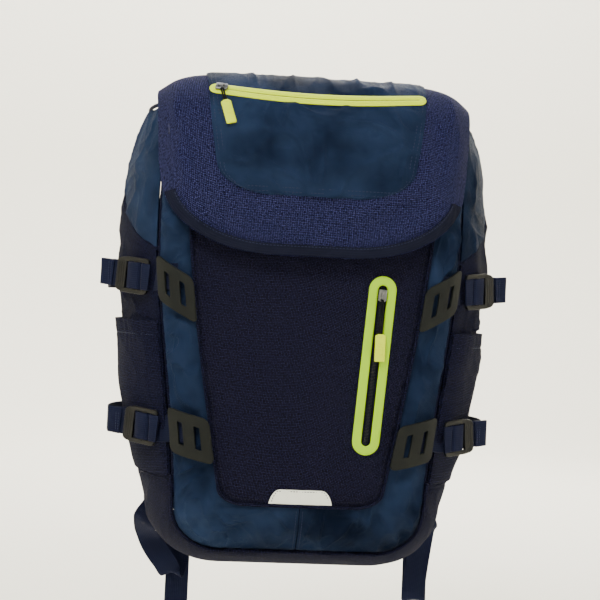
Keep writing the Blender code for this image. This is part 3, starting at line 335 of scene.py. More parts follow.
    def side_offset(self, side: int, k: float, t: float, distance: float) -> Vector:
        """Place of the side surface moved out level."""
        return self.level_offset(self.side_point, side, k, t, distance)

    def gusset_offset(self, side: int, height: float, t: float, distance: float) -> Vector:
        """Place of the gusset at a height, moved out level."""
        place = self.level_offset(self.gusset_point, side, self.gusset_k(height, t), t, distance)
        return Vector((place.x, place.y, height))


@dataclass
class LidShape:
    """Surface of the lid over (x, v): v runs along its middle profile from the hinge to the hem."""

    profile_at: Stations = (
        (-9, 464), (-38, 473.5), (-80, 478), (-120, 475.5), (-150, 465), (-169, 448), (-181, 424),
        (-187, 392), (-190, 350), (-189, 301),
    )
    top_half: float = 147.0
    low_half: float = 141.0
    corner: tuple[float, float] = (104.0, 66.0)
    narrow_from: float = 150.0
    wrap: float = 29.0
    roof_drop: float = 15.0
    zip_height: float = 450.0
    zip_half: float = 99.0
    zip_sag: float = 8.0
    points: list[Vector] = field(init=False)
    lengths: list[float] = field(init=False)

    def __post_init__(self) -> None:
        """Measures the middle profile."""
        self.points = smooth_path([Vector((0.0, y, h)) for y, h in self.profile_at], 181)
        self.lengths = [0.0]
        for a, b in zip(self.points, self.points[1:]):
            self.lengths.append(self.lengths[-1] + (b - a).length)

    @property
    def length(self) -> float:
        """Length of the middle profile."""
        return self.lengths[-1]

    @property
    def corner_start(self) -> float:
        """Where the rounded lower corners begin."""
        return self.length - self.corner[1]

    def profile(self, v: float) -> tuple[Vector, Vector]:
        """The middle profile's place and its outward direction."""
        v = min(max(v, 0.0), self.length)
        i = min(max(bisect_right(self.lengths, v) - 1, 0), len(self.points) - 2)
        span = self.lengths[i + 1] - self.lengths[i]
        here = blend(self.points[i], self.points[i + 1], (v - self.lengths[i]) / span)
        last = len(self.points) - 1
        run = (self.points[min(i + 2, last)] - self.points[max(i - 1, 0)]).normalized()
        return here, Vector((0.0, run.z, -run.y))

    def at_height(self, height: float) -> float:
        """Place along the profile, on its front run, that lies at this height."""
        for i in range(len(self.points) - 1, 0, -1):
            a, b = self.points[i - 1], self.points[i]
            if a.z >= height >= b.z:
                return blend(self.lengths[i - 1], self.lengths[i], (a.z - height) / (a.z - b.z))
        raise ValueError(f"the lid doesn't reach {height}")

    def half(self, v: float) -> float:
        """Half-width of the lid, with its rounded lower corners."""
        run, rise = self.corner
        share = min(max((v - self.narrow_from) / (self.corner_start - self.narrow_from), 0.0), 1.0)
        below = min(max((v - self.corner_start) / rise, 0.0), 1.0)
        return blend(self.top_half, self.low_half, share) - run * (1 - math.sqrt(1 - below * below))

    def point(self, x: float, v: float, lift: float) -> Vector:
        """Place on the lid, moved out by lift."""
        here, out = self.profile(v)
        share = abs(x) / self.top_half
        roof = max(out.z, 0.0)
        wrap = self.wrap * (0.12 * share**2 + 0.88 * share**6)
        back = wrap * (1 - roof) + min(wrap * 0.35, max(self.profile_at[0][0] - here.y, 0.0)) * roof
        return here + out * lift + Vector((x, back, -self.roof_drop * share**8 * roof))

    def zip_place(self, x: float) -> float:
        """Place along the profile of the zip, which bows down a little in the middle."""
        bow = self.zip_sag * (abs(x) / self.zip_half) ** 2
        return self.at_height(self.zip_height) - bow + self.zip_sag / 2


# ---------------------------------------------------------------- soft relief


def ripple(x: np.ndarray, y: np.ndarray, size: float, seed: int) -> np.ndarray:
    """Smooth uneven waves over a sheet.

    Args:
        x: places across, in millimetres.
        y: places along, in millimetres.
        size: about the distance from crest to crest.
        seed: which waves to take.

    Returns:
        Heights of about -1 to 1.
    """
    draw = np.random.default_rng(seed)
    total = np.zeros_like(x)
    for _ in range(12):
        angle, phase = draw.uniform(0, 2 * math.pi, 2)
        pace = 2 * math.pi / size * draw.uniform(0.6, 1.5)
        total += np.cos(pace * (x * math.cos(angle) + y * math.sin(angle)) + phase)
    return total / 4.2


def crumple(x: np.ndarray, y: np.ndarray, size: float, seed: int) -> np.ndarray:
    """Sharp-crested creases between flatter facets, as in a thin coated cloth."""
    bent_x = x + size * 0.22 * ripple(x, y, size * 1.7, seed + 7)
    bent_y = y + size * 0.22 * ripple(x, y, size * 1.7, seed + 13)
    first = 1 - np.abs(ripple(bent_x, bent_y, size, seed))
    second = 1 - np.abs(ripple(bent_x, bent_y, size * 0.55, seed + 31))
    return np.clip(first, 0, 1) ** 3 - 0.3 + 0.35 * (np.clip(second, 0, 1) ** 3 - 0.3)


@dataclass(frozen=True)
class Fold:
    """One soft fold from a start to an end, in the sheet's own two directions."""

    start: tuple[float, float]
    end: tuple[float, float]
    width: float
    rise: float
    bow: float = 0.0

    def heights(self, x: np.ndarray, y: np.ndarray) -> np.ndarray:
        """Height of the fold with the valleys beside it, over a sheet's places."""
        ax, ay = self.start
        dx, dy = self.end[0] - ax, self.end[1] - ay
        length = math.hypot(dx, dy)
        share = ((x - ax) * dx + (y - ay) * dy) / length**2
        off = ((x - ax) * dy - (y - ay) * dx) / length
        off = off - self.bow * 4 * share * (1 - share) - 0.25 * self.width * ripple(x, y, 40.0, 5)
        inside = np.clip(share, 0, 1)
        past = np.abs(share - inside) * length
        taper = np.exp(-((past / (self.width * 1.2)) ** 2)) * (0.25 + 0.75 * np.sin(math.pi * inside) ** 0.7)
        crest = np.exp(-((off / self.width) ** 2))
        valley = np.exp(-(((off - 1.7 * self.width) / (1.1 * self.width)) ** 2))
        return self.rise * taper * (crest - 0.45 * valley)


@dataclass
class Lay:
    """Where the points of a sheet lie: x, y, h in space, u, v on the cloth, and the way to each edge."""

    x: np.ndarray
    y: np.ndarray
    h: np.ndarray
    u: np.ndarray
    v: np.ndarray
    left: np.ndarray
    right: np.ndarray
    start: np.ndarray
    end: np.ndarray

    def pucker(self, edge: np.ndarray, run: np.ndarray, seed: int, depth: float) -> np.ndarray:
        """Dip of a sewn edge with the small gathers beside it."""
        gathers = ripple(run, edge * 0.35, 9.0, seed) * np.exp(-edge / 7.0) * depth
        return gathers - 1.1 * np.exp(-((edge / 2.4) ** 2))

    def sewn(self, seed: int, depth: float, edges: str = "lrse") -> np.ndarray:
        """Puckers along the named edges: l, r, s and e for left, right, start and end."""
        total = np.zeros_like(self.x)
        for letter, edge, run in (
            ("l", self.left, self.v), ("r", self.right, self.v),
            ("s", self.start, self.u), ("e", self.end, self.u),
        ):
            if letter in edges:
                total += self.pucker(edge, run, seed, depth)
                seed += 1
        return total


Relief = Callable[[Lay], np.ndarray]


# ---------------------------------------------------------------- modelling


def linked(name: str, data: bpy.types.ID) -> bpy.types.Object:
    """Adds an object to the scene around its mesh, lamp or camera."""
    obj = bpy.data.objects.new(name, data)
    bpy.context.scene.collection.objects.link(obj)
    return obj


def drawn(name: str, verts: Sequence, faces: Sequence, edges: Sequence = ()) -> bpy.types.Object:
    """Adds an object from lists of points in metres, faces and loose edges."""
    mesh = bpy.data.meshes.new(name)
    mesh.from_pydata(verts, edges, faces)
    mesh.update()
    return linked(name, mesh)


def face_out(mesh: bpy.types.Mesh) -> None:
    """Turns the faces of a closed mesh outward."""
    shape = bmesh.new()
    shape.from_mesh(mesh)
    bmesh.ops.recalc_face_normals(shape, faces=shape.faces)
    shape.to_mesh(mesh)
    shape.free()


def between(places: Sequence[Vector], others: Sequence[Vector]) -> list[Vector]:
    """Steps from places to the others, in order."""
    return [other - place for place, other in zip(places, others)]


def square_to_front(route: Sequence[Vector]) -> list[Vector]:
    """For each place of a run, the way square to the run and to the front."""
    last = len(route) - 1
    return [(route[min(i + 1, last)] - route[max(i - 1, 0)]).cross(-Y_AXIS) for i in range(last + 1)]


class Bench:
    """Modelling steps that work on one object at a time."""

    @staticmethod
    def clear() -> None:
        """Deselects everything."""
        for obj in list(bpy.context.selected_objects):
            obj.select_set(False)

    @staticmethod
    def take(obj: bpy.types.Object) -> bpy.types.Object:
        """Selects one object alone and makes it active."""
        Bench.clear()
        obj.select_set(True)
        bpy.context.view_layer.objects.active = obj
        return obj

    @staticmethod
    def named(name: str) -> bpy.types.Object:
        """Names the object that an operator has just added."""
        obj = bpy.context.active_object
        obj.name = name
        obj.data.name = name
        return obj

    @staticmethod
    def finish(obj: bpy.types.Object, kind: str, **settings) -> bpy.types.Object:
        """Adds a modifier and applies it.

        Args:
            obj: the piece.
            kind: the modifier's type.
            **settings: its settings.

        Returns:
            The piece.
        """
        Bench.take(obj)
        modifier = obj.modifiers.new(kind.title(), kind)
        for key, value in settings.items():
            setattr(modifier, key, value)
        bpy.ops.object.modifier_apply(modifier=modifier.name)
        return obj

    @staticmethod
    def smooth(obj: bpy.types.Object, angle: float = 45.0) -> bpy.types.Object:
        """Shades smooth, with edges sharper than the angle kept."""
        Bench.take(obj)
        bpy.ops.object.shade_smooth_by_angle(angle=math.radians(angle))
        return obj

    @staticmethod
    def move_points(obj: bpy.types.Object, rule: Callable[[Vector], Vector]) -> bpy.types.Object:
        """Moves every point of a mesh by a rule."""
        for vert in obj.data.vertices:
            vert.co = rule(vert.co)
        obj.data.update()
        return obj

    @staticmethod
    def pick(obj: bpy.types.Object, test: Callable[[Vector], bool]) -> None:
        """In edit mode, selects the faces whose middle passes a test."""
        bpy.ops.mesh.select_mode(type="FACE")
        bpy.ops.mesh.select_all(action="DESELECT")
        shape = bmesh.from_edit_mesh(obj.data)
        for face in shape.faces:
            if test(face.calc_center_median()):
                face.select_set(True)
        bmesh.update_edit_mesh(obj.data)

    @staticmethod
    def plate(
        name: str,
        columns: Sequence[float],
        rows: Sequence[float],
        holes: Sequence[tuple[int, int]],
        corner: float,
        cuts: int,
    ) -> bpy.types.Object:
        """Flat plate in its own x and y, bisected along columns and rows, with some cells cut out.

        Args:
            name: the piece's name.
            columns: x of the cell edges, the plate's own edges first and last.
            rows: y of the cell edges.
            holes: (column, row) of the cells to cut out.
            corner: radius of the four corners.
            cuts: how often every cell edge is divided.

        Returns:
            The plate.
        """
        Bench.clear()
        bpy.ops.mesh.primitive_plane_add(size=1.0)
        obj = Bench.named(name)
        low, high = Vector((columns[0], rows[0], 0)), Vector((columns[-1], rows[-1], 0))

        def spread_out(p: Vector) -> Vector:
            return Vector((blend(low.x, high.x, p.x + 0.5), blend(low.y, high.y, p.y + 0.5), 0)) * MM

        Bench.move_points(obj, spread_out)
        bpy.ops.object.mode_set(mode="EDIT")
        for direction, places in (((1, 0, 0), columns[1:-1]), ((0, 1, 0), rows[1:-1])):
            for place in places:
                bpy.ops.mesh.select_all(action="SELECT")
                bpy.ops.mesh.bisect(plane_co=Vector(direction) * place * MM, plane_no=direction)

        def in_hole(middle: Vector) -> bool:
            x, y = middle.x / MM, middle.y / MM
            return any(columns[i] < x < columns[i + 1] and rows[j] < y < rows[j + 1] for i, j in holes)

        Bench.pick(obj, in_hole)
        bpy.ops.mesh.delete(type="FACE")
        bpy.ops.mesh.select_all(action="SELECT")
        bpy.ops.mesh.subdivide(number_cuts=cuts)
        bpy.ops.object.mode_set(mode="OBJECT")

        def rounded(p: Vector) -> Vector:
            middle = (low + high) * 0.5 * MM
            half = (high - low) * 0.5 * MM
            x, y, r = p.x - middle.x, p.y - middle.y, corner * MM
            over_x, over_y = abs(x) - (half.x - r), abs(y) - (half.y - r)
            if over_x > 0 and over_y > 0 and math.hypot(over_x, over_y) > r:
                pull = r / math.hypot(over_x, over_y)
                x = math.copysign(half.x - r + over_x * pull, x)
                y = math.copysign(half.y - r + over_y * pull, y)
            return Vector((x + middle.x, y + middle.y, p.z))

        return Bench.move_points(obj, rounded)

    @staticmethod
    def block(
        name: str, size: Sequence[float], middle: Sequence[float], round_by: float, segments: int = 3
    ) -> bpy.types.Object:
        """Rounded block in its own axes, from a cube with bevelled edges."""
        Bench.clear()
        bpy.ops.mesh.primitive_cube_add(size=1.0)
        obj = Bench.named(name)

        def stretched(p: Vector) -> Vector:
            return Vector((p.x * size[0], p.y * size[1], p.z * size[2])) * MM + Vector(middle) * MM

        Bench.move_points(obj, stretched)
        return Bench.finish(obj, "BEVEL", width=round_by * MM, segments=segments)

    @staticmethod
    def thicken(obj: bpy.types.Object, thick: float, edge: float, segments: int, sharp: float) -> None:
        """Thickens a plate to both sides and rounds its edges that are sharper than an angle."""
        Bench.finish(obj, "SOLIDIFY", thickness=thick * MM, offset=0.0)
        limit = {"limit_method": "ANGLE", "angle_limit": math.radians(sharp)}
        Bench.finish(obj, "BEVEL", width=edge * MM, segments=segments, **limit)

    @staticmethod
    def place(
        obj: bpy.types.Object, origin: Vector, x_axis: Vector, y_axis: Vector, z_axis: Vector
    ) -> bpy.types.Object:
        """Puts a piece modelled about the origin, in metres, into a frame given in millimetres."""
        turn = Matrix((x_axis, y_axis, z_axis)).transposed().to_4x4()
        obj.data.transform(Matrix.Translation(world(origin)) @ turn)
        obj.data.update()
        return obj

    @staticmethod
    def join(name: str, pieces: Sequence[bpy.types.Object]) -> bpy.types.Object:
        """Joins pieces into the first one."""
        Bench.clear()
        for piece in pieces:
            piece.select_set(True)
        bpy.context.view_layer.objects.active = pieces[0]
        bpy.ops.object.join()
        return Bench.named(name)

    @staticmethod
    def copies(
        name: str, model: bpy.types.Object, frames: Sequence[tuple[Vector, Vector, Vector, Vector]]
    ) -> bpy.types.Object:
        """One mesh of many copies of a small model, which it uses up.

        Args:
            name: the piece's name.
            model: the small shape, about its own origin and in metres.
            frames: for each copy its place in millimetres and its three axes.

        Returns:
            The piece.
        """
        local = np.array([v.co for v in model.data.vertices])
        cells = [list(p.vertices) for p in model.data.polygons]
        verts, faces = [], []
        for origin, x_axis, y_axis, z_axis in frames:
            turn = np.array([x_axis, y_axis, z_axis])
            faces += [[i + len(verts) * len(local) for i in cell] for cell in cells]
            verts.append(local @ turn + np.array(world(origin)))
        obj = drawn(name, np.concatenate(verts).tolist(), faces)
        bpy.data.objects.remove(model, do_unlink=True)
        for polygon in obj.data.polygons:
            polygon.use_smooth = True
        return obj

    @staticmethod
    def bead(name: str, length: float, width: float, height: float) -> bpy.types.Object:
        """A small long round-ended bead along its own x."""
        Bench.clear()
        bpy.ops.mesh.primitive_uv_sphere_add(segments=6, ring_count=4, radius=0.5)
        obj = Bench.named(name)

        def stretched(p: Vector) -> Vector:
            return Vector((p.z * length, p.x * width, p.y * height)) * MM

        return Bench.move_points(obj, stretched)

    @staticmethod
    def stitches(
        name: str, path: Sequence[Vector], out: Callable[[Vector], Vector], pace: float = 3.6
    ) -> bpy.types.Object:
        """A row of stitches along a path.

        Args:
            name: the piece's name.
            path: places in millimetres.
            out: gives the outward direction at a place.
            pace: from stitch to stitch.

        Returns:
            The piece.
        """
        frames = []
        left = pace / 2
        for a, b in zip(path, path[1:]):
            run = b - a
            length = run.length
            if length < 1e-6:
                continue
            run = run / length
            while left < length:
                here = a + run * left
                face = out(here)
                face = (face - run * face.dot(run)).normalized()
                frames.append((here, run, face.cross(run), face))
                left += pace
            left -= length
        return Bench.copies(name, Bench.bead(name + "_bead", pace * 0.74, 0.75, 0.55), frames)


class Sheet:
    """A sewn sheet of cloth over a surface."""

    def __init__(
        self,
        name: str,
        point: Callable[[float, float], Vector],
        across: int,
        down: int,
        thick: float,
        relief: Relief | None = None,
        outward: bool = False,
        away: Vector = INSIDE,
        held: str = "stretched",
        cut: Callable[[float, float], bool] | None = None,
    ) -> None:
        """Models the sheet.

        Args:
            name: the piece's name.
            point: the surface over two shares from 0 to 1.
            across: cells in the first direction.
            down: cells in the second.
            thick: thickness of the cloth.
            relief: how far each point stands proud of the surface.
            outward: whether the thickness goes out from the surface or in.
            away: the place that the sheet's outer face looks away from.
            held: how the cloth is held; kept on the sheet but not used.
            cut: tells for two shares whether a slot is cut out there.
        """
        share = 1.0
        across, down = max(int(across * share), 6), max(int(down * share), 6)
        Bench.clear()
        bpy.ops.mesh.primitive_grid_add(x_subdivisions=across, y_subdivisions=down, size=2.0)
        self.obj = Bench.named(name)
        mesh = self.obj.data
        flat = np.empty(len(mesh.vertices) * 3)
        mesh.vertices.foreach_get("co", flat)
        flat = flat.reshape(-1, 3)
        order = np.lexsort((np.round(flat[:, 0], 5), np.round(flat[:, 1], 5)))
        rows = len(np.unique(np.round(flat[:, 1], 5)))
        a = (flat[order, 0] + 1) / 2
        b = (flat[order, 1] + 1) / 2
        places = np.array([point(s, t) for s, t in zip(np.clip(a, 0.0, 1.0), np.clip(b, 0.0, 1.0))])
        grid = places.reshape(rows, -1, 3)
        u, v = self.lengths(grid, 1), self.lengths(grid, 0)
        side, run = np.gradient(grid, axis=1), np.gradient(grid, axis=0)
        normal = np.cross(side, run)
        normal /= np.maximum(np.linalg.norm(normal, axis=2, keepdims=True), 1e-9)
        if ((grid - np.array(away)) * normal).sum() < 0:
            normal = -normal
        lay = Lay(
            grid[..., 0], grid[..., 1], grid[..., 2], u - u[:, -1:] / 2, v,
            u, u[:, -1:] - u, v, v[-1:, :] - v,
        )
        if relief is not None:
            grid = grid + normal * relief(lay)[..., None]
        self.area = self.surface(grid) * MM * MM
        self.flat = (float(u[:, -1].max() * MM), float(v[-1, :].max() * MM))
        back = np.empty_like(order)
        back[order] = np.arange(len(order))
        final = (grid.reshape(-1, 3) - np.array((0.0, LOOP_MIDDLE, HANG_HEIGHT))) * MM
        mesh.vertices.foreach_set("co", final[back].ravel())
        self.map_cloth(lay.u.ravel()[back] * MM, lay.v.ravel()[back] * MM)
        mesh.update()
        if cut is not None:
            self.open_slot([a[i] for i in back], [b[i] for i in back], cut)
        self.face_away(away)
        way = 1.0 if outward else -1.0
        Bench.finish(self.obj, "SOLIDIFY", thickness=thick * MM, offset=way, use_even_offset=False)
        Bench.smooth(self.obj, 60.0)
        self.held = held

    def open_slot(self, a: Sequence[float], b: Sequence[float], cut: Callable[[float, float], bool]) -> None:
        """Removes the faces whose points all lie in a slot."""
        shape = bmesh.new()
        shape.from_mesh(self.obj.data)
        shape.verts.ensure_lookup_table()
        inside = {vert.index for vert in shape.verts if cut(a[vert.index], b[vert.index])}
        doomed = [face for face in shape.faces if all(vert.index in inside for vert in face.verts)]
        bmesh.ops.delete(shape, geom=doomed, context="FACES")
        shape.to_mesh(self.obj.data)
        shape.free()

    @staticmethod
    def lengths(grid: np.ndarray, axis: int) -> np.ndarray:
        """Distance from the first line of a lattice, along one of its directions."""
        steps = np.linalg.norm(np.diff(grid, axis=axis), axis=2)
        total = np.cumsum(steps, axis=axis)
        shape = list(total.shape)
        shape[axis] = 1
        return np.concatenate([np.zeros(shape), total], axis=axis)

    @staticmethod
    def surface(grid: np.ndarray) -> float:
        """Area of a lattice, in square millimetres."""
        one = np.cross(grid[1:, :-1] - grid[:-1, :-1], grid[:-1, 1:] - grid[:-1, :-1])
        two = np.cross(grid[:-1, 1:] - grid[1:, 1:], grid[1:, :-1] - grid[1:, 1:])
        return float((np.linalg.norm(one, axis=2) + np.linalg.norm(two, axis=2)).sum() / 2)

    def map_cloth(self, u: np.ndarray, v: np.ndarray) -> None:
        """Lays the cloth's own measure, in metres, on the sheet as its UV map."""
        mesh = self.obj.data
        layer = mesh.uv_layers[0] if mesh.uv_layers else mesh.uv_layers.new()
        layer.name = CUT
        index = np.empty(len(mesh.loops), dtype=np.int64)
        mesh.loops.foreach_get("vertex_index", index)
        layer.data.foreach_set("uv", np.stack([u[index], v[index]], axis=1).ravel())

    def face_away(self, away: Vector) -> None:
        """Turns the faces to look away from a place."""
        middle = world(away)
        mesh = self.obj.data
        if sum(face.normal.dot(face.center - middle) * face.area for face in mesh.polygons) < 0:
            mesh.flip_normals()

    def declare(self) -> None:
        width, length = self.flat
        area = max(min(self.area, width * length), 0.301 * width * length)


def swept(
    name: str,
    path: Sequence[Vector],
    across: Sequence[Vector],
    section: Sequence[tuple[float, float]],
    closed: bool = False,
    widths: Sequence[float] | None = None,
) -> bpy.types.Object:
    """A section carried along a path, such as a webbing band, a piping or a moulded rim.

    Args:
        name: the piece's name.
        path: places in millimetres.
        across: the direction of the section's first measure at each place.
        section: closed outline of (across, out) pairs in millimetres.
        closed: whether the path joins its own start.
        widths: a factor on the first measure at each place.

    Returns:
        The piece, with its cloth measure as UV map.
    """
    count, ring = len(path), len(section)
    verts, lengths = [], [0.0]
    for i, here in enumerate(path):
        before = path[i - 1] if i or closed else here
        after = path[(i + 1) % count] if i < count - 1 or closed else here
        run = (after - before).normalized()
        side = Vector(across[i])
        side = (side - run * side.dot(run)).normalized()
        out = side.cross(run).normalized()
        factor = widths[i] if widths else 1.0
        verts += [world(here + side * (w * factor) + out * n) for w, n in section]
        if i:
            lengths.append(lengths[-1] + (here - path[i - 1]).length)
    faces, uvs = [], []
    girth = [0.0]
    for p, q in zip(section, section[1:] + section[:1]):
        girth.append(girth[-1] + math.hypot(q[0] - p[0], q[1] - p[1]))
    total = lengths[-1] + (path[0] - path[-1]).length
    for i in range(count if closed else count - 1):
        j = (i + 1) % count
        end = total if j == 0 else lengths[j]
        for s in range(ring):
            t = (s + 1) % ring
            faces.append((i * ring + s, i * ring + t, j * ring + t, j * ring + s))
            near, far = girth[s], girth[s + 1]
            uvs += [(near, lengths[i]), (far, lengths[i]), (far, end), (near, end)]
    if not closed:
        for base, row in ((0, range(ring)), ((count - 1) * ring, range(ring - 1, -1, -1))):
            faces.append(tuple(base + s for s in row))
            uvs += [(section[s][0], lengths[0 if base == 0 else -1]) for s in row]
    obj = drawn(name, verts, faces)
    layer = obj.data.uv_layers.new(name=CUT)
    layer.data.foreach_set("uv", [c * MM for uv in uvs for c in uv])
    face_out(obj.data)
    return Bench.smooth(obj, 50.0)


def round_section(radius: float, sides: int = 10) -> list[tuple[float, float]]:
    """Outline of a round cord."""
    turns = [2 * math.pi * i / sides for i in range(sides)]
    return [(radius * math.cos(a), radius * math.sin(a)) for a in turns]


def band_section(width: float, thick: float, crown: float = 0.0, steps: int = 8) -> list[tuple[float, float]]:
    """Outline of a flat band with rounded edges and a crown on both faces."""
    half, edge = width / 2, thick / 2
    top = []
    for i in range(steps + 1):
        share = 2 * i / steps - 1
        flat = (half - edge * 0.8) * share
        top.append((flat, edge + crown * (1 - share**4)))
    return top + [(half, 0.0)] + [(w, -n) for w, n in reversed(top)] + [(-half, 0.0)]


# ---------------------------------------------------------------- finishes


def linear(red: int, green: int, blue: int) -> Colour:
    """Turns a colour as seen on a screen, 0 to 255, into the light that it stands for."""

    def one(c: float) -> float:
        c /= 255
        return c / 12.92 if c <= 0.04045 else ((c + 0.055) / 1.055) ** 2.4

    return one(red), one(green), one(blue)


class Value:
    """A number in a material's graph; Python arithmetic on it adds Math nodes."""

    def __init__(self, graph: Graph, socket: bpy.types.NodeSocket) -> None:
        """Wraps an output socket."""
        self.graph = graph
        self.socket = socket

    def math(self, operation: str, *others: Value | float, clamp: bool = False) -> Value:
        """Adds one Math node with this value first."""
        links = {0: self, **{i + 1: other for i, other in enumerate(others)}}
        node = self.graph.add("ShaderNodeMath", {"operation": operation, "use_clamp": clamp}, links)
        return Value(self.graph, node.outputs[0])

    def __add__(self, other: Value | float) -> Value:
        """Sum."""
        return self.math("ADD", other)

    __radd__ = __add__

    def __sub__(self, other: Value | float) -> Value:
        """Difference."""
        return self.math("SUBTRACT", other)

    def __rsub__(self, other: float) -> Value:
        """A number less this value."""
        return (self * -1.0) + other

    def __mul__(self, other: Value | float) -> Value:
        """Product."""
        return self.math("MULTIPLY", other)

    __rmul__ = __mul__

    def sine(self) -> Value:
        """Sine of the value in turns, from -1 to 1."""
        return (self * (2 * math.pi)).math("SINE")

    def clip(self) -> Value:
        """The value held between 0 and 1."""
        return self.math("ADD", 0.0, clamp=True)


class Graph:
    """The node graph of one material."""

    def __init__(self, name: str) -> None:
        """Makes an empty material with its shader."""
        self.material = bpy.data.materials.new(name)
        self.material.use_nodes = True
        self.tree = self.material.node_tree
        self.shader = self.tree.nodes["Principled BSDF"]

    def add(self, kind: str, settings: dict | None = None, sockets: dict | None = None) -> bpy.types.Node:
        """Adds a node.

        Args:
            kind: the node's type.
            settings: attributes set before the sockets.
            sockets: values, colours or Value links by socket name or number.

        Returns:
            The node.
        """
        node = self.tree.nodes.new(kind)
        for key, value in (settings or {}).items():
            setattr(node, key, value)
        for key, value in (sockets or {}).items():
            self.feed(node.inputs[key], value)
        return node

    def feed(self, socket: bpy.types.NodeSocket, value) -> None:
        """Links a socket or sets its value."""
        if isinstance(value, Value):
            self.tree.links.new(value.socket, socket)
        elif isinstance(value, bpy.types.NodeSocket):
            self.tree.links.new(value, socket)
        else:
            socket.default_value = value

    def cloth(self) -> tuple[Value, Value, bpy.types.NodeSocket]:
        """The cloth's own measure across and along, in metres, and both as a vector."""
        node = self.add("ShaderNodeUVMap", {"uv_map": CUT})
        parts = self.add("ShaderNodeSeparateXYZ", sockets={0: node.outputs[0]})
        return Value(self, parts.outputs[0]), Value(self, parts.outputs[1]), node.outputs[0]

    def space(self) -> bpy.types.NodeSocket:
        """The place in the object's own metres."""
        return self.add("ShaderNodeTexCoord").outputs["Object"]

    def noise(self, scale: float, detail: float = 2.0, where: bpy.types.NodeSocket | None = None) -> Value:
        """Soft noise of about 0 to 1, with scale in waves to a metre."""
        sockets = {"Vector": where or self.space(), "Scale": scale, "Detail": detail, "Roughness": 0.55}
        return Value(self, self.add("ShaderNodeTexNoise", sockets=sockets).outputs[0])

    def mix(self, share: Value | float, first, second) -> bpy.types.NodeSocket:
        """Mixes two colours."""
        node = self.add("ShaderNodeMix", {"data_type": "RGBA"})
        self.feed(node.inputs[0], share)
        for socket, colour in ((node.inputs[6], first), (node.inputs[7], second)):
            self.feed(socket, (*colour, 1.0) if isinstance(colour, tuple) else colour)
        return node.outputs[2]

    def bump(self, height: Value, strength: float, distance: float) -> None:
        """Feeds the shader's normal with a relief, its depth in metres."""
        sockets = {"Strength": strength, "Distance": distance, "Height": height}
        node = self.add("ShaderNodeBump", sockets=sockets)
        self.feed(self.shader.inputs["Normal"], node.outputs[0])

    def set(self, **sockets) -> None:
        """Sets the shader's sockets, with _ for a space in a name."""
        for key, value in sockets.items():
            self.feed(self.shader.inputs[key.replace("_", " ")], value)


@dataclass(frozen=True)
class Finish:
    """A finish of the bag, with the record's slot that it belongs to."""

    name: str
    slot: str

    def paint(self, graph: Graph) -> None:
        """Builds the graph; each kind of finish has its own."""
        raise NotImplementedError

    def material(self) -> bpy.types.Material:
        """The material, made the first time that it is asked for."""
        found = bpy.data.materials.get(self.name)
        if found is not None:
            return found
        graph = Graph(self.name)
        self.paint(graph)
        return graph.material


@dataclass(frozen=True)
class Woven(Finish):
    """Cloth with yarns that show: a ground colour, a raised yarn, and soft mottling."""

    colour: Colour
    yarn: Colour
    pitch: float
    slant: float = 0.0
    depth: float = 0.5
    roughness: float = 0.8
    sheen: float = 0.02
    show: float = 0.9
    fleck: float = 640.0

    def paint(self, graph: Graph) -> None:
        """Yarns run on the cloth's own measure, with uneven dye and wear over them."""
        u, v, cloth = graph.cloth()
        turn, pace = math.radians(self.slant), 1 / (self.pitch * MM)
        warp = (u * (math.cos(turn) * pace) + v * (math.sin(turn) * pace)).sine()
        weft = (u * (-math.sin(turn) * pace) + v * (math.cos(turn) * pace)).sine()
        knot = warp * weft
        fleck = graph.noise(self.fleck, 1.0, cloth)
        lift = (knot * 0.6 + 0.4).clip() * (fleck * 2.6 - 0.75).clip()
        patch = (graph.noise(14.0, 3.0) * 1.8 - 0.4).clip()
        dark, pale = (tuple(tone * c for c in self.colour) for tone in (0.82, 1.16))
        ground = graph.mix(patch, dark, pale)
        graph.set(
            Base_Color=graph.mix((lift * self.show).clip(), ground, self.yarn),
            Roughness=patch * 0.08 + (self.roughness - 0.04),
            Sheen_Weight=self.sheen,
            Sheen_Roughness=0.55,
            Sheen_Tint=(*(min(1.0, 6.0 * c + 0.2) for c in self.colour), 1.0),
            Specular_IOR_Level=0.2,
            IOR=1.2,
        )
        graph.bump(knot * 0.5 + fleck * 0.5, self.depth, self.pitch * MM * 0.6)


@dataclass(frozen=True)
class Satin(Finish):
    """Smooth coated cloth with a soft shine, fine pressed creases and paler patches painted in as highlights.
    """

    colour: Colour
    # paler colour painted in soft patches: painted highlights that stand in for the shine on the folds
    light: Colour
    roughness: float = 0.5

    def paint(self, graph: Graph) -> None:
        """Fine yarn, shallow creases, an uneven shine and paler patches of painted highlight."""
        u, v, cloth = graph.cloth()
        fine = (u * 1600.0).sine() * (v * 1600.0).sine()
        crease = graph.noise(38.0, 4.0)
        # Soft noise mixes in the paler colour: painted highlights in place of the shine on the folds.
        patch = (graph.noise(16.0, 3.0) * 2.6 - 0.8).clip()
        graph.set(
            Base_Color=graph.mix(patch, self.colour, self.light),
            Roughness=graph.noise(60.0, 3.0, cloth) * 0.16 + (self.roughness - 0.08),
            Specular_IOR_Level=0.2,
            IOR=1.12,
        )
        graph.bump(fine * 0.03 + crease, 0.8, 0.006)


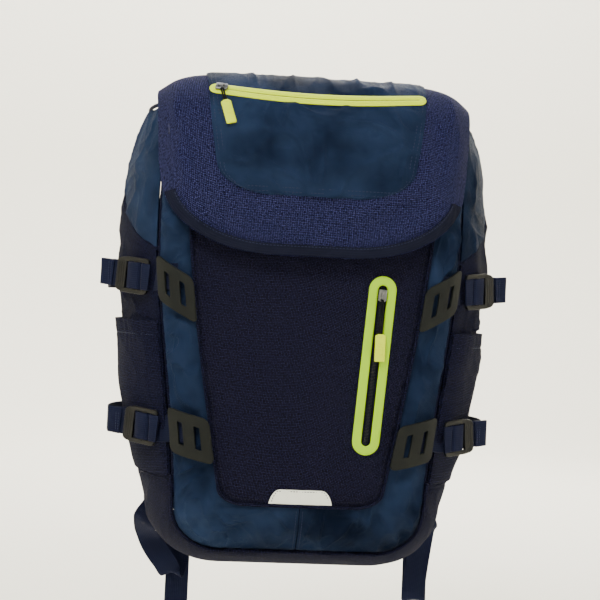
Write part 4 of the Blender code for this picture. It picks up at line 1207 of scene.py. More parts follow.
@dataclass(frozen=True)
class Ribbed(Finish):
    """Webbing or grosgrain: ribs across the band with a firmer edge."""

    colour: Colour
    light: Colour
    pitch: float = 1.3

    def paint(self, graph: Graph) -> None:
        """Ribs follow the band's own measure."""
        u, v, _ = graph.cloth()
        along_band = v * (1 / (self.pitch * MM))
        across_band = u * (1 / (self.pitch * 1.5 * MM))
        rib = along_band.sine() * 0.5 + 0.5
        yarn = across_band.sine() * 0.5 + 0.5
        height = rib * 0.65 + yarn * 0.35
        patch = (graph.noise(25.0, 3.0) * 1.6 - 0.3).clip()
        tone = graph.mix((height * 0.55 + patch * 0.3).clip(), self.colour, self.light)
        graph.set(
            Base_Color=tone, Roughness=patch * 0.1 + 0.68, Sheen_Weight=0.02, Sheen_Roughness=0.5,
            Specular_IOR_Level=0.2, IOR=1.2,
        )
        graph.bump(height, 0.55, 0.0005)


@dataclass(frozen=True)
class Moulded(Finish):
    """Moulded plastic, rubber, film, thread or painted metal with a fine grain."""

    colour: Colour
    roughness: float = 0.45
    grain: float = 900.0
    depth: float = 0.12
    metal: float = 0.0
    gloss: float = 0.35
    wear: float = 0.25

    def paint(self, graph: Graph) -> None:
        """Even colour with handling marks, and a fine moulded grain."""
        marks = (graph.noise(55.0, 4.0) * 1.8 - 0.4).clip()
        worn = tuple(min(1.0, c * (1 + self.wear) + 0.006 * self.wear) for c in self.colour)
        dull = tuple(c * (1 - 0.35 * self.wear) for c in self.colour)
        graph.set(
            Base_Color=graph.mix(marks, dull, worn),
            Roughness=marks * 0.16 + (self.roughness - 0.08),
            Metallic=self.metal,
            Specular_IOR_Level=self.gloss,
        )
        graph.bump(graph.noise(self.grain, 2.0), self.depth, 0.0003)


@dataclass(frozen=True)
class Spacer(Finish):
    """Knitted spacer mesh: rows of small round holes over dark foam."""

    colour: Colour
    hole: Colour
    pitch: float = 3.2

    def paint(self, graph: Graph) -> None:
        """Holes lie on staggered rows in the object's own measure."""
        parts = graph.add("ShaderNodeSeparateXYZ", sockets={0: graph.space()})
        pace = 1 / (self.pitch * MM)
        x, z = Value(graph, parts.outputs[0]) * pace, Value(graph, parts.outputs[2]) * pace
        net = ((x + z * 0.5).sine() + (z - x * 0.5).sine() + (x * 1.5 - z * 0.5).sine() * 0.4) * 0.4
        knit = (net * 1.6 + 0.5).clip()
        patch = (graph.noise(18.0, 3.0) * 1.6 - 0.3).clip()
        dark, pale = (tuple(tone * c for c in self.colour) for tone in (0.85, 1.2))
        yarn = graph.mix(knit, self.hole, graph.mix(patch, dark, pale))
        graph.set(Base_Color=yarn, Roughness=0.86, Sheen_Weight=0.08, Sheen_Roughness=0.6)
        graph.bump(knit, 0.7, 0.0012)


class Cloths:
    """The bag's finishes."""

    lid_navy = Woven("lid_navy_cloth", "navy_twill", linear(10, 12, 30), linear(80, 84, 146), 2.3, 38, 0.9)
    navy = Woven("side_navy_cloth", "navy_twill", linear(5, 6, 14), linear(44, 46, 84), 2.2, 38, 0.8)
    fine = Woven("front_navy_cloth", "navy_fine", linear(5, 5, 12), linear(52, 52, 86), 2.1, 38, 0.7, 0.85)
    # the second colour is a painted highlight colour, mixed in by soft noise
    blue = Satin("blue_satin_cloth", "blue_satin", linear(14, 23, 42), linear(38, 53, 82))
    lining = Woven(
        "grey_lining_cloth", "lining", linear(80, 84, 92), linear(108, 112, 120),
        0.9, depth=0.3, roughness=0.75, sheen=0.05, show=0.4,
    )
    web = Ribbed("navy_webbing_weave", "webbing", linear(9, 12, 27), linear(30, 35, 62))
    hem = Ribbed("navy_grosgrain", "webbing", linear(6, 8, 16), linear(30, 33, 55), 1.5)
    tape = Ribbed("zip_tape_weave", "zip_tape", linear(8, 9, 15), linear(22, 24, 36), 0.9)
    coil = Moulded("zip_coil_nylon", "zip_tape", linear(16, 18, 24), 0.35, 600.0, 0.05)
    neon = Moulded("neon_film", "neon_trim", linear(158, 205, 0), 0.5, 700.0, 0.08, gloss=0.15, wear=0.04)
    bright = Moulded(
        "neon_bright_film", "neon_trim", linear(205, 228, 0), 0.5, 700.0, 0.08, gloss=0.15, wear=0.03
    )
    grip = Moulded(
        "neon_grip_rubber", "neon_trim", linear(205, 224, 0), 0.5, 500.0, 0.15, gloss=0.2, wear=0.05
    )
    plastic = Moulded(
        "black_acetal", "black_plastic", linear(8, 9, 10), 0.32, 800.0, 0.10, gloss=0.3, wear=0.4
    )
    metal = Moulded("dark_zinc", "zip_metal", linear(110, 112, 116), 0.3, 400.0, 0.05, metal=0.9, wear=0.3)
    cord = Moulded("black_cord", "zip_tape", linear(9, 10, 12), 0.7, 1500.0, 0.5, gloss=0.15)
    rubber = Moulded("olive_rubber_sheet", "lash_rubber", linear(14, 17, 16), 0.6, 1100.0, 0.2, gloss=0.18)
    film = Moulded("reflective_sheet", "reflective", linear(235, 238, 230), 0.32, 1300.0, 0.12, wear=0.06)
    thread = Moulded("navy_thread", "webbing", linear(34, 40, 68), 0.6, 1500.0, 0.3, gloss=0.2)
    dark_thread = Moulded("dark_thread", "navy_fine", linear(22, 23, 38), 0.65, 1500.0, 0.3, gloss=0.15)
    mesh = Spacer("spacer_mesh_knit", "spacer_mesh", linear(25, 27, 40), linear(5, 6, 9))
    fuzz = Moulded("hook_and_loop", "zip_tape", linear(12, 13, 17), 0.95, 2200.0, 1.0, gloss=0.1)


def settle(obj: bpy.types.Object, finish: Finish, body: Body, *stands_for: str) -> bpy.types.Object:
    """Dresses a finished piece and tells the frame where it belongs.

    Args:
        obj: the piece.
        finish: its finish.
        body: the body that it rides on.
        *stands_for: the nodes that it replaces.

    Returns:
        The piece.
    """
    obj.data.materials.clear()
    obj.data.materials.append(finish.material())
    for polygon in obj.data.polygons:
        polygon.material_index = 0
    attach(obj, body.value)
    if stands_for:
        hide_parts(*stands_for)
    log.info("%s: %d faces, rides on %s", obj.name, len(obj.data.polygons), body.value)
    return obj


def settle_sheet(sheet: Sheet, finish: Finish, body: Body, *stands_for: str) -> bpy.types.Object:
    settle(sheet.obj, finish, body, *stands_for)
    sheet.declare()
    return sheet.obj


def outward(place: Vector) -> Vector:
    """Level direction out of the bag at a place."""
    return Vector((place.x, (place.y - MIDDLE_DEPTH) * 1.6, 0.0)).normalized()


def forward(_: Vector) -> Vector:
    """Straight to the front."""
    return -Y_AXIS


# ---------------------------------------------------------------- the bag's body


@dataclass
class FrontPanel:
    """Front panel with its piping, its stitching and the reflective patch at its foot."""

    bag: BagShape
    piping: float = 1.5
    patch_foot: float = 71.2
    patch_rise: float = 13.5
    patch_half: tuple[float, float] = (29.5, 19.5)
    slot: tuple[float, float] = (80.0, 8.0)

    def panel(self) -> None:
        """The fine-woven panel, a little slack between its seams."""
        bag = self.bag

        def point(a: float, b: float) -> Vector:
            height = blend(bag.front_foot, RIM_HEIGHT, b**1.2)
            half = bag.front_half(height) - 1.0
            return bag.front_place(blend(-half, half, a), height)

        def relief(lay: Lay) -> np.ndarray:
            slack = 0.8 * ripple(lay.x, lay.h, 90.0, 3) + 0.35 * ripple(lay.x, lay.h, 26.0, 4)
            off = np.hypot(lay.x - ZIP_MIDDLE[0], (lay.h - ZIP_MIDDLE[1]) * 0.19)
            calm = np.exp(-((np.maximum(off - 14, 0.0) / 9) ** 2))
            return np.minimum(lay.sewn(21, 0.5, "lrs") + slack * (1 - calm) - 0.9 * (1 - calm), 0.12)

        def in_slot(a: float, b: float) -> bool:
            place = point(a, b)
            run, side = FrontZip.local(place.x, place.z)
            return abs(run) < self.slot[0] and abs(side) < self.slot[1]

        sheet = Sheet("front_cloth", point, 90, 130, FABRIC, relief, cut=in_slot)
        settle_sheet(sheet, Cloths.fine, Body.BAG, "front_panel")

    def seam(self, inset: float, lift: float) -> list[Vector]:
        """Run along the panel's seam, moved in by inset."""
        bag = self.bag
        places = []
        for side, ks in ((-1, spread(0.1, 0.998, 120)), (1, spread(0.998, 0.1, 120))):
            for k in ks:
                x, height, angle = bag.front_outline(k)
                x, height = x - inset * math.cos(angle), height + inset * math.sin(angle)
                places.append(bag.front_place(side * x, height, lift))
        return places

    def trim(self) -> None:
        """Piping on the seam and a row of stitches beside it."""
        route = self.seam(0.0, self.piping + GAP - 0.4)
        roll = swept("front_seam_piping", route, square_to_front(route), round_section(self.piping))
        settle(roll, Cloths.navy, Body.BAG, "front_piping")
        line = self.seam(5.0, -0.6)
        settle(Bench.stitches("front_seam_stitches", line, forward), Cloths.dark_thread, Body.BAG)

    def patch_point(self, a: float, b: float, lift: float) -> Vector:
        """Place on the patch, over its width and its height."""
        wide, narrow = self.patch_half
        half = narrow + (wide - narrow) * math.sqrt(max(1 - b**2.4, 0.0)) * (1 - 0.25 * b)
        height = self.patch_foot + self.patch_rise * b
        return self.bag.front_place(blend(-half, half, a), height, lift)

    def patch(self) -> None:
        """The pale film patch with stitches round its edge."""

        def point(a: float, b: float) -> Vector:
            return self.patch_point(a, b, GAP)

        def relief(lay: Lay) -> np.ndarray:
            return 0.25 * ripple(lay.x, lay.h, 12.0, 8) * (1 - np.exp(-lay.start / 2))

        sheet = Sheet("reflective_cloth", point, 60, 20, 0.8, relief, outward=True)
        settle_sheet(sheet, Cloths.film, Body.BAG, "reflective_patch")
        edge = [self.patch_point(0.04, b, 1.0) for b in spread(0.1, 0.86, 12)]
        edge += [self.patch_point(a, 0.88, 1.0) for a in spread(0.08, 0.92, 30)]
        edge += [self.patch_point(0.96, b, 1.0) for b in spread(0.86, 0.1, 12)]
        settle(Bench.stitches("patch_stitches", edge, forward, 2.6), Cloths.thread, Body.BAG)

    def build(self) -> None:
        """Models and dresses every piece."""
        self.panel()
        self.trim()
        self.patch()


@dataclass
class PocketLining:
    """Lining of the front pocket, behind the front panel."""

    bag: BagShape
    depth: float = 11.0
    low: float = 75.0
    high: float = 330.0
    slope: float = 30.0

    def build(self) -> None:
        """Models and dresses the lining."""
        bag = self.bag

        def point(a: float, b: float) -> Vector:
            s, height = blend(-1.0, 1.0, a), blend(self.low, self.high, b)
            rise = max(min((height - self.low) / self.slope, (self.high - height) / self.slope, 1.0), 0.0)
            room = (1 - abs(s) ** 4) * (1 - (1 - rise) ** 2)
            x = s * (bag.front_half(height) - 8.0)
            return bag.front_place(x, height, -(FABRIC + 0.8 + self.depth * room))

        sheet = Sheet("front_pocket_cloth", point, 50, 70, 1.0)
        settle_sheet(sheet, Cloths.lining, Body.BAG, "front_pocket_lining")


@dataclass
class Gussets:
    """Blue gussets round the front panel, meeting in a double-stitched seam under it."""

    bag: BagShape
    seam: float = 0.012
    folds: tuple[Fold, ...] = (
        Fold((122, 250), (142, 215), 7, 1.8), Fold((118, 205), (134, 178), 6, 1.6),
        Fold((108, 172), (130, 158), 6, 1.5), Fold((112, 112), (95, 62), 8, 2.2, 3),
        Fold((126, 96), (104, 48), 7, 1.8, -3), Fold((60, 60), (86, 30), 8, 1.4),
        Fold((128, 380), (142, 330), 8, 1.5), Fold((123, 360), (138, 296), 7, 1.6),
    )

    def panel(self, side: Side) -> None:
        """One gusset, from the rim down and in to the middle."""
        bag = self.bag

        def point(a: float, b: float) -> Vector:
            return bag.gusset_point(side.value, 0.9992 * b, blend(self.seam, 1 - self.seam, a))

        def relief(lay: Lay) -> np.ndarray:
            inside = 1 - np.exp(-((np.minimum(np.minimum(lay.left, lay.right), lay.end) / 6) ** 2))
            slant = np.abs(lay.x) * 1.5 + lay.h * 0.6
            total = 3.2 * crumple(lay.x * 1.3, lay.h, 48.0, 50 + side.value)
            total += 2.4 * ripple(slant, lay.h * 0.8, 34.0, 55)
            for fold in self.folds:
                total += 1.3 * fold.heights(np.abs(lay.x), lay.h)
            return (total + 0.8) * inside + lay.sewn(41 + side.value, 0.5, "lre") * 0.5

        sheet = Sheet(f"gusset_cloth_{side.word}", point, 32, 250, FABRIC, relief)
        settle_sheet(sheet, Cloths.blue, Body.BAG, f"gusset_{side.word}")

    def side_seam(self, side: Side) -> None:
        """Rolled seam between the gusset and the side."""
        route = []
        for k in spread(0.0, 0.68, 150):
            x, height, _ = self.bag.gusset_outline(k)
            depth = along(self.bag.front_line, height) + self.bag.gusset_setback
            route.append(Vector((side.value * (x - 1.5), depth + 1.4, height)))
        roll = swept(f"side_seam_{side.word}", route, [X_AXIS] * len(route), round_section(2.3))
        settle(roll, Cloths.navy, Body.BAG)

    def centre_stitches(self) -> None:
        """Two rows of stitches beside the seam under the front panel."""
        for name, x in (("left", -3.0), ("right", 3.0)):
            line = []
            for t in spread(0.08, 0.94, 24):
                place = self.bag.gusset_point(1, 0.985, t)
                line.append(Vector((x, place.y - 0.5, place.z)))
            settle(Bench.stitches(f"centre_stitches_{name}", line, forward, 3.2), Cloths.thread, Body.BAG)

    def build(self) -> None:
        """Models and dresses every piece."""
        for side in Side:
            self.panel(side)
            self.side_seam(side)
        self.centre_stitches()


@dataclass
class Sides:
    """Navy sides, the blue shoulders above them and the slack pockets on them."""

    bag: BagShape
    pocket_ease: float = 3.0
    pocket_seam: float = 0.012
    hem: float = 14.0

    @property
    def pocket_low(self) -> float:
        """Height of the pocket's foot."""
        return self.bag.base_top + 3.0

    def panels(self, side: Side) -> None:
        """The side and its shoulder."""
        bag = self.bag

        def shoulder(a: float, b: float) -> Vector:
            t = blend(SEAM_SHARE, 1 - SEAM_SHARE, a)
            return bag.side_point(side.value, blend(0.0, bag.shoulder_k(t) - 0.0006, b), t)

        def panel(a: float, b: float) -> Vector:
            t = blend(SEAM_SHARE, 1 - SEAM_SHARE, a)
            k = blend(bag.shoulder_k(t) + 0.0006, bag.side_k(bag.base_top), b)
            return bag.side_point(side.value, k, t)

        def soft(lay: Lay) -> np.ndarray:
            inside = 1 - np.exp(-((np.minimum(lay.left, lay.right) / 12) ** 2))
            total = 2.2 * crumple(lay.u, lay.h, 70.0, 70 + side.value)
            total += 1.2 * ripple(lay.u, lay.h, 110.0, 72)
            return (total + 0.5) * inside + lay.sewn(61 + side.value, 0.5) * 0.4

        def slack(lay: Lay) -> np.ndarray:
            total = 2.4 * ripple(lay.u, lay.h, 80.0, 90 + side.value)
            total += 1.1 * crumple(lay.u, lay.h * 1.3, 70.0, 95 + side.value)
            total *= 1 - np.exp(-((np.minimum(lay.left, lay.right) / 14) ** 2))
            return np.where(lay.h < POCKET_TOP + 4, np.minimum(total, 0.0), total)

        upper = Sheet(f"shoulder_cloth_{side.word}", shoulder, 80, 60, FABRIC, soft)
        settle_sheet(upper, Cloths.blue, Body.BAG, f"shoulder_panel_{side.word}")
        lower = Sheet(f"side_cloth_{side.word}", panel, 84, 110, FABRIC, slack)
        settle_sheet(lower, Cloths.navy, Body.BAG, f"side_panel_{side.word}")

    def rolled_seams(self, side: Side) -> None:
        """Rolled seams at the head and the foot of the side."""
        bag = self.bag
        for name, k_at in (("head", bag.shoulder_k), ("foot", lambda _: bag.side_k(bag.base_top))):
            route = [bag.side_offset(side.value, k_at(t), t, -1.9) for t in spread(0.0, 1.0, 60)]
            roll = swept(f"{name}_seam_{side.word}", route, [Z_AXIS] * 60, round_section(1.9, 8))
            settle(roll, Cloths.navy, Body.BAG)

    def pocket_place(self, side: Side, t: float, height: float, lift: float) -> Vector:
        """Place on the pocket, moved out by lift."""
        share = (height - self.pocket_low) / (POCKET_TOP - self.pocket_low)
        round_by = (t - self.pocket_seam) / (1 - 2 * self.pocket_seam)
        ease = self.pocket_ease * share * max(math.sin(math.pi * round_by), 0.0) ** 0.7
        return self.bag.side_offset(side.value, self.bag.side_k(height), t, GAP + 0.2 + ease + lift)

    def pocket(self, side: Side) -> None:
        """The pocket with its gathered hem."""

        def point(a: float, b: float) -> Vector:
            t = blend(self.pocket_seam, 1 - self.pocket_seam, a)
            return self.pocket_place(side, t, blend(self.pocket_low, POCKET_TOP, b), 0.0)

        def relief(lay: Lay) -> np.ndarray:
            inside = 1 - np.exp(-np.minimum(lay.left, lay.right) / 8)
            gather = 0.9 * ripple(lay.u, lay.h * 0.12, 11.0, 15) * np.exp(-((lay.end - 7) ** 2) / 400)
            slack = 1.2 * ripple(lay.u, lay.h, 70.0, 100 + side.value)
            slack += 0.9 * crumple(lay.u, lay.h, 60.0, 104 + side.value)
            seam = -0.9 * np.exp(-(((lay.end - self.hem) / 1.6) ** 2))
            return (gather + slack) * inside * (1 - np.exp(-lay.start / 8)) + seam + 0.8 * inside

        sheet = Sheet(f"pocket_cloth_{side.word}", point, 84, 90, 1.4, relief, outward=True)
        settle_sheet(sheet, Cloths.navy, Body.BAG, f"side_pocket_{side.word}")
        line = [self.pocket_place(side, t, POCKET_TOP - self.hem, 2.2) for t in spread(0.03, 0.97, 60)]
        settle(Bench.stitches(f"pocket_stitches_{side.word}", line, outward), Cloths.thread, Body.BAG)

    def build(self) -> None:
        """Models and dresses every piece."""
        for side in Side:
            self.panels(side)
            self.rolled_seams(side)
            self.pocket(side)


@dataclass
class Base:
    """Base panel with the piping on its front seam."""

    bag: BagShape
    piping: float = 1.8
    piping_top: float = 95.0

    def panel(self) -> None:
        """The base, turned up on both sides."""
        bag = self.bag
        first = bag.side_k(bag.base_top) + 0.0006

        def point(a: float, b: float) -> Vector:
            j = blend(-1.0, 1.0, b)
            t = blend(SEAM_SHARE, 1 - SEAM_SHARE, a)
            return bag.side_point(1 if j > 0 else -1, 1 - abs(j) * (1 - first), t)

        def relief(lay: Lay) -> np.ndarray:
            slack = 1.1 * ripple(lay.x, lay.y, 70.0, 120) + 0.9 * crumple(lay.x, lay.y + lay.h, 60.0, 121)
            level = np.clip((lay.h - 2.0) / 14.0, 0.0, 1.0)
            return (lay.sewn(122, 0.5) + slack) * level

        sheet = Sheet("base_cloth", point, 66, 200, 2.6, relief)
        settle_sheet(sheet, Cloths.navy, Body.BAG, "base_panel")

    def seam(self, outward_by: float) -> list[Vector]:
        """Run along the seam between the gussets and the base."""
        bag = self.bag
        places = []
        for side, ks in ((-1, spread(0.05, 0.998, 150)), (1, spread(0.998, 0.05, 150))):
            for k in ks:
                x, height, angle = bag.gusset_outline(k)
                out = Vector((side * math.cos(angle), -1.0, -math.sin(angle))).normalized()
                depth = along(bag.front_line, height) + bag.gusset_setback
                places.append(Vector((side * x, depth, height)) + out * outward_by)
        return places

    def trim(self) -> None:
        """Piping round the lower part of the seam."""
        route = [p for p in self.seam(2.0) if p.z < self.piping_top]
        roll = swept("base_seam_piping", route, square_to_front(route), round_section(self.piping))
        settle(roll, Cloths.navy, Body.BAG, "base_piping")

    def build(self) -> None:
        """Models and dresses every piece."""
        self.panel()
        self.trim()


@dataclass
class Back:
    """Back panel with its pads, the sleeve inside it, the mouth's binding and the lid's hinge strip."""

    bag: BagShape
    thick: float = 6.0
    pad: float = 13.0
    binding: float = 1.8

    @property
    def rear(self) -> float:
        """Y just behind the back panel."""
        return BACK_FACE + self.thick + 2 * GAP

    def panel(self) -> None:
        """The foam-backed panel."""

        def point(a: float, b: float) -> Vector:
            half, height, _ = self.bag.back_outline(0.885 * b)
            return Vector((blend(-half, half, a), BACK_FACE + GAP, height))

        def relief(lay: Lay) -> np.ndarray:
            return 0.35 * ripple(lay.x, lay.h, 60.0, 130) - 0.7

        sheet = Sheet("back_cloth", point, 60, 100, self.thick - 0.6, relief, outward=True)
        settle_sheet(sheet, Cloths.navy, Body.BAG, "back_panel")

    def cushion(
        self, name: str, low: tuple[float, float], high: tuple[float, float], channels: Sequence[float]
    ) -> None:
        """One pad of mesh over foam, with sewn channels across it."""
        size = (high[0] - low[0] - 5, self.pad - 4.5, high[1] - low[1] - 5)
        middle = Vector(((low[0] + high[0]) / 2, self.rear + self.pad / 2 - 1.4, (low[1] + high[1]) / 2))
        obj = Bench.block(name, size, (0, 0, 0), 4.0, 4)
        Bench.place(obj, middle, X_AXIS, Y_AXIS, Z_AXIS)
        fill_up(obj, 2.0, 5.0)

        def channel(p: Vector) -> Vector:
            height = p.z / MM + HANG_HEIGHT
            depth = sum(math.exp(-(((height - at) / 3.2) ** 2)) for at in channels)
            share = min(max((p.y / MM + LOOP_MIDDLE - self.rear - 3.0) / 6.0, 0.0), 1.0)
            return p - Vector((0, 4.5 * depth * share * MM, 0))

        Bench.move_points(obj, channel)
        settle(obj, Cloths.mesh, Body.BAG, name.replace("_foam", ""))

    def pads(self) -> None:
        """Two long pads and the lumbar pad."""
        for side in Side:
            low, high = sorted((side.value * 14.0, side.value * 108.0))
            channels = (178.0, 234.0, 290.0, 346.0)
            self.cushion(f"back_pad_{side.word}_foam", (low, 122.0), (high, 392.0), channels)
        self.cushion("lumbar_pad_foam", (-66.0, 40.0), (66.0, 112.0), (76.0,))

    def sleeve(self) -> None:
        """The laptop sleeve on the inner face of the back."""

        def point(a: float, b: float) -> Vector:
            s, height = blend(-1.0, 1.0, a), blend(60.0, 370.0, b)
            room = (1 - abs(s) ** 6) * (1 - (1 - min((height - 60.0) / 20.0, 1.0)) ** 2)
            return Vector((s * 116.0, BACK_FACE - GAP - 2.2 - 22.0 * room, height))

        def relief(lay: Lay) -> np.ndarray:
            return 0.5 * ripple(lay.x, lay.h, 70.0, 140)

        sheet = Sheet("sleeve_cloth", point, 50, 60, 2.0, relief, away=Vector((0.0, 200.0, 230.0)))
        settle_sheet(sheet, Cloths.lining, Body.BAG, "laptop_sleeve")

    def mouth(self) -> None:
        """Binding round the mouth, and the strip between the back and the lid."""
        bag = self.bag
        front_half = along(bag.front_half_at, RIM_HEIGHT)
        route = [bag.front_place(s * front_half, RIM_HEIGHT) for s in spread(-0.96, 0.96, 25)]
        route += [bag.gusset_point(1, 0.0, t) for t in spread(0.0, 1.0, 10)]
        route += [bag.side_point(1, 0.0, t) for t in spread(0.05, 0.95, 30)]
        rear_half = along(bag.back_half_at, RIM_HEIGHT)
        route += [Vector((s * rear_half, BACK_FACE + 3.0, RIM_HEIGHT)) for s in spread(0.98, -0.98, 25)]
        route += [bag.side_point(-1, 0.0, t) for t in spread(0.95, 0.05, 30)]
        route += [bag.gusset_point(-1, 0.0, t) for t in spread(1.0, 0.0, 10)]
        route = [p + Vector((0, 0.8, self.binding + GAP)) for p in route]
        section = round_section(self.binding)
        ring = swept("mouth_tape", route, [Z_AXIS] * len(route), section, closed=True)
        settle(ring, Cloths.web, Body.BAG, "mouth_binding")
        rear = self.rear
        knots = ((rear + 0.7, 428.0), (rear + 0.7, 452.0), (rear - 1.0, 460.0), (-7.7, 463.6))
        path = smooth_path([Vector((0, y, height)) for y, height in knots], 20)
        strip = swept("hinge_cloth", path, [X_AXIS] * 20, band_section(236.0, 1.2, steps=24))
        settle(strip, Cloths.navy, Body.BAG, "lid_hinge_strip")

    def build(self) -> None:
        """Models and dresses every piece."""
        self.panel()
        self.pads()
        self.sleeve()
        self.mouth()


def fill_up(obj: bpy.types.Object, cap: float, voxel: float) -> None:
    """Fills a padded piece: pressure under its skin, with each point's way held to a cap.

    Args:
        obj: the slightly slack piece.
        cap: the furthest that a point may move, in millimetres.
        voxel: size of the even skin, in millimetres.
    """
    Bench.finish(obj, "REMESH", mode="VOXEL", voxel_size=voxel * MM)
    before = [vert.co.copy() for vert in obj.data.vertices]
    cloth = obj.modifiers.new("Fill", "CLOTH")
    cloth.settings.use_pressure = True
    cloth.settings.uniform_pressure_force = 4.0
    cloth.settings.effector_weights.gravity = 0.0
    for frame in range(1, 21):
        bpy.context.scene.frame_set(frame)
    Bench.take(obj)
    bpy.ops.object.modifier_apply(modifier=cloth.name)
    bpy.context.scene.frame_set(1)
    for vert, old in zip(obj.data.vertices, before):
        way = vert.co - old
        if way.length > cap * MM:
            vert.co = old + way.normalized() * (cap * MM)
    Bench.finish(obj, "SUBSURF", levels=1, render_levels=1)
    Bench.smooth(obj, 80.0)


# ---------------------------------------------------------------- the lid


@dataclass
class LidHood:
    """Navy hood with the blue panel over it, its pocket lining and its grosgrain hem."""

    lid: LidShape
    panel_top: float = 106.0
    panel_low: float = 86.0
    panel_foot: float = 356.0
    panel_corner: tuple[float, float] = (46.0, 26.0)
    slot_half: float = 4.0
    skirt: tuple[float, float, float] = (4.5, 13.0, 14.0)
    skirt_from: float = 0.93
    pocket: float = 4.9
    lining_thick: float = 1.2
    hem_width: float = 10.0
    hem_end: float = 0.6
    folds: tuple[Fold, ...] = (
        Fold((34, 340), (100, 371), 8, 2.6, 2), Fold((72, 324), (134, 352), 7, 2.2),
        Fold((-104, 388), (-78, 352), 7, 1.6), Fold((-112, 372), (-40, 324), 14, 2.0, 4),
        Fold((-129, 456), (-122, 380), 6, 1.6), Fold((-118, 450), (-112, 400), 5, 1.2),
        Fold((119, 440), (126, 376), 6, 1.5), Fold((129, 452), (133, 410), 5, 1.2),
        Fold((-128, 400), (-118, 352), 8, 1.6), Fold((10, 330), (60, 345), 9, 1.4),
    )

    def in_slot(self, x: float, v: float) -> bool:
        """Whether a place lies in the zip's slot."""
        half = self.lid.zip_half
        return abs(x) < half and abs(v - self.lid.zip_place(min(abs(x), half))) < self.slot_half

    def shell_place(self, a: float, b: float) -> tuple[float, float]:
        """Place on the lid's own (x, v) for two shares."""
        v = b * self.lid.length
        return blend(-1.0, 1.0, a) * self.lid.half(v), v

    def shell(self) -> None:
        """The hood, gathered at its top corners and wrinkled low on the right."""

        def point(a: float, b: float) -> Vector:
            past = max(abs(2 * a - 1) - self.skirt_from, 0.0) / (1 - self.skirt_from)
            x, v = self.shell_place(a, b)
            low = min(max((self.lid.corner_start + 20 - v) / 40, 0.0), 1.0)
            roof = min(max((130.0 - v) / 90.0, 0.0), 1.0)
            out, back, down = self.skirt
            turn = Vector((math.copysign(out, x), back * (1 - roof), -down * roof))
            return self.lid.point(x, v, 0.0) + turn * (past**1.3 * low)

        def cut(a: float, b: float) -> bool:
            return self.in_slot(*self.shell_place(a, b))

        def relief(lay: Lay) -> np.ndarray:
            free = np.clip((np.abs(lay.x) - self.half_at(lay.h)) / 10, 0.0, 1.0)
            total = lay.sewn(150, 0.5, "lre") * 0.7
            total += (0.9 * ripple(lay.x, lay.h, 55.0, 152) + 1.2 * crumple(lay.x, lay.h, 70.0, 153)) * free
            gather = np.exp(-(((np.abs(lay.x) - 128) / 16) ** 2)) * np.exp(-(((lay.h - 430) / 34) ** 2))
            total += 1.3 * gather * ripple(lay.x, lay.h * 0.2, 9.0, 154)
            for fold in self.folds:
                total += fold.heights(lay.x, lay.h)
            front = np.clip((-lay.y - 120) / 40, 0.0, 1.0)
            hem = np.minimum(lay.end, np.minimum(lay.left, lay.right))
            return total * front * (1 - np.exp(-((hem / 12) ** 2))) - 0.25

        sheet = Sheet("lid_cloth", point, 120, 150, LID_SHELL, relief, cut=cut, held="draped")
        settle_sheet(sheet, Cloths.lid_navy, Body.LID, "lid_shell")

    def half_at(self, height: np.ndarray) -> np.ndarray:
        """Half-width of the blue panel at heights on the front."""
        share = np.clip((height - self.panel_foot) / 110, 0, 1)
        return np.where(height < self.panel_foot + 2, -10.0, blend(self.panel_low, self.panel_top, share))

    def panel_half(self, v: float) -> float:
        """Half-width of the blue panel, with its rounded lower corners."""
        foot, (run, rise) = self.lid.at_height(self.panel_foot), self.panel_corner
        share = min(max((v - 60.0) / (foot - 60.0), 0.0), 1.0)
        below = min(max((v - (foot - rise)) / rise, 0.0), 1.0)
        return blend(self.panel_top, self.panel_low, share**2.4) - run * (1 - math.sqrt(1 - below * below))

    def panel(self) -> None:
        """The blue panel with its topstitching."""
        foot = self.lid.at_height(self.panel_foot)

        def place(a: float, b: float) -> tuple[float, float]:
            v = blend(4.0, foot, b)
            return blend(-1.0, 1.0, a) * self.panel_half(v), v

        def point(a: float, b: float) -> Vector:
            return self.lid.point(*place(a, b), LID_LAYER)

        def relief(lay: Lay) -> np.ndarray:
            front = np.clip((-lay.y - 100) / 50, 0.15, 1.0)
            calm = 1 - np.exp(-(((lay.h - 449) / 9) ** 2))
            soft = 3.6 * crumple(lay.x, lay.h, 58.0, 161) + 1.2 * ripple(lay.x, lay.h, 30.0, 162) + 1.2
            inside = 1 - np.exp(-np.minimum(np.minimum(lay.left, lay.right), lay.end) / 9)
            gathers = 0.5 * lay.sewn(163, 0.9, "lre")
            return np.maximum(soft * front * calm * inside + gathers * 0.5, -0.35)

        def cut(a: float, b: float) -> bool:
            return self.in_slot(*place(a, b))

        sheet = Sheet("lid_panel_cloth", point, 130, 150, 1.0, relief, outward=True, cut=cut, held="laid")
        settle_sheet(sheet, Cloths.blue, Body.LID, "lid_panel")
        straight = [place(0.0, b) for b in spread(0.05, 0.86, 80)]
        turn = [place(0.0, b) for b in spread(0.865, 1.0, 40)]
        first = turn[0][1]
        for inset in (3.0, 7.0):
            line = [(x + inset, v) for x, v in straight]
            for x, v in turn:
                line.append((x + inset * (1 - (v - first) / (foot - first)) ** 0.5, min(v, foot - inset)))
            whole = line + [(-x, v) for x, v in reversed(line)]
            places = [self.lid.point(x, v, LID_LAYER + 1.3) for x, v in whole]
            stitches = Bench.stitches(f"lid_panel_stitches_{int(inset)}", places, self.facing, 3.4)
            settle(stitches, Cloths.thread, Body.LID)

    @staticmethod
    def facing(place: Vector) -> Vector:
        """Outward direction of the lid near a place."""
        rise = (place.z - 330.0) * 0.6 if place.z > RIM_HEIGHT else 0.0
        return Vector((place.x * 0.002, place.y + 95.0, rise)).normalized()

    def lining(self) -> None:
        """The pocket's lining under the hood."""

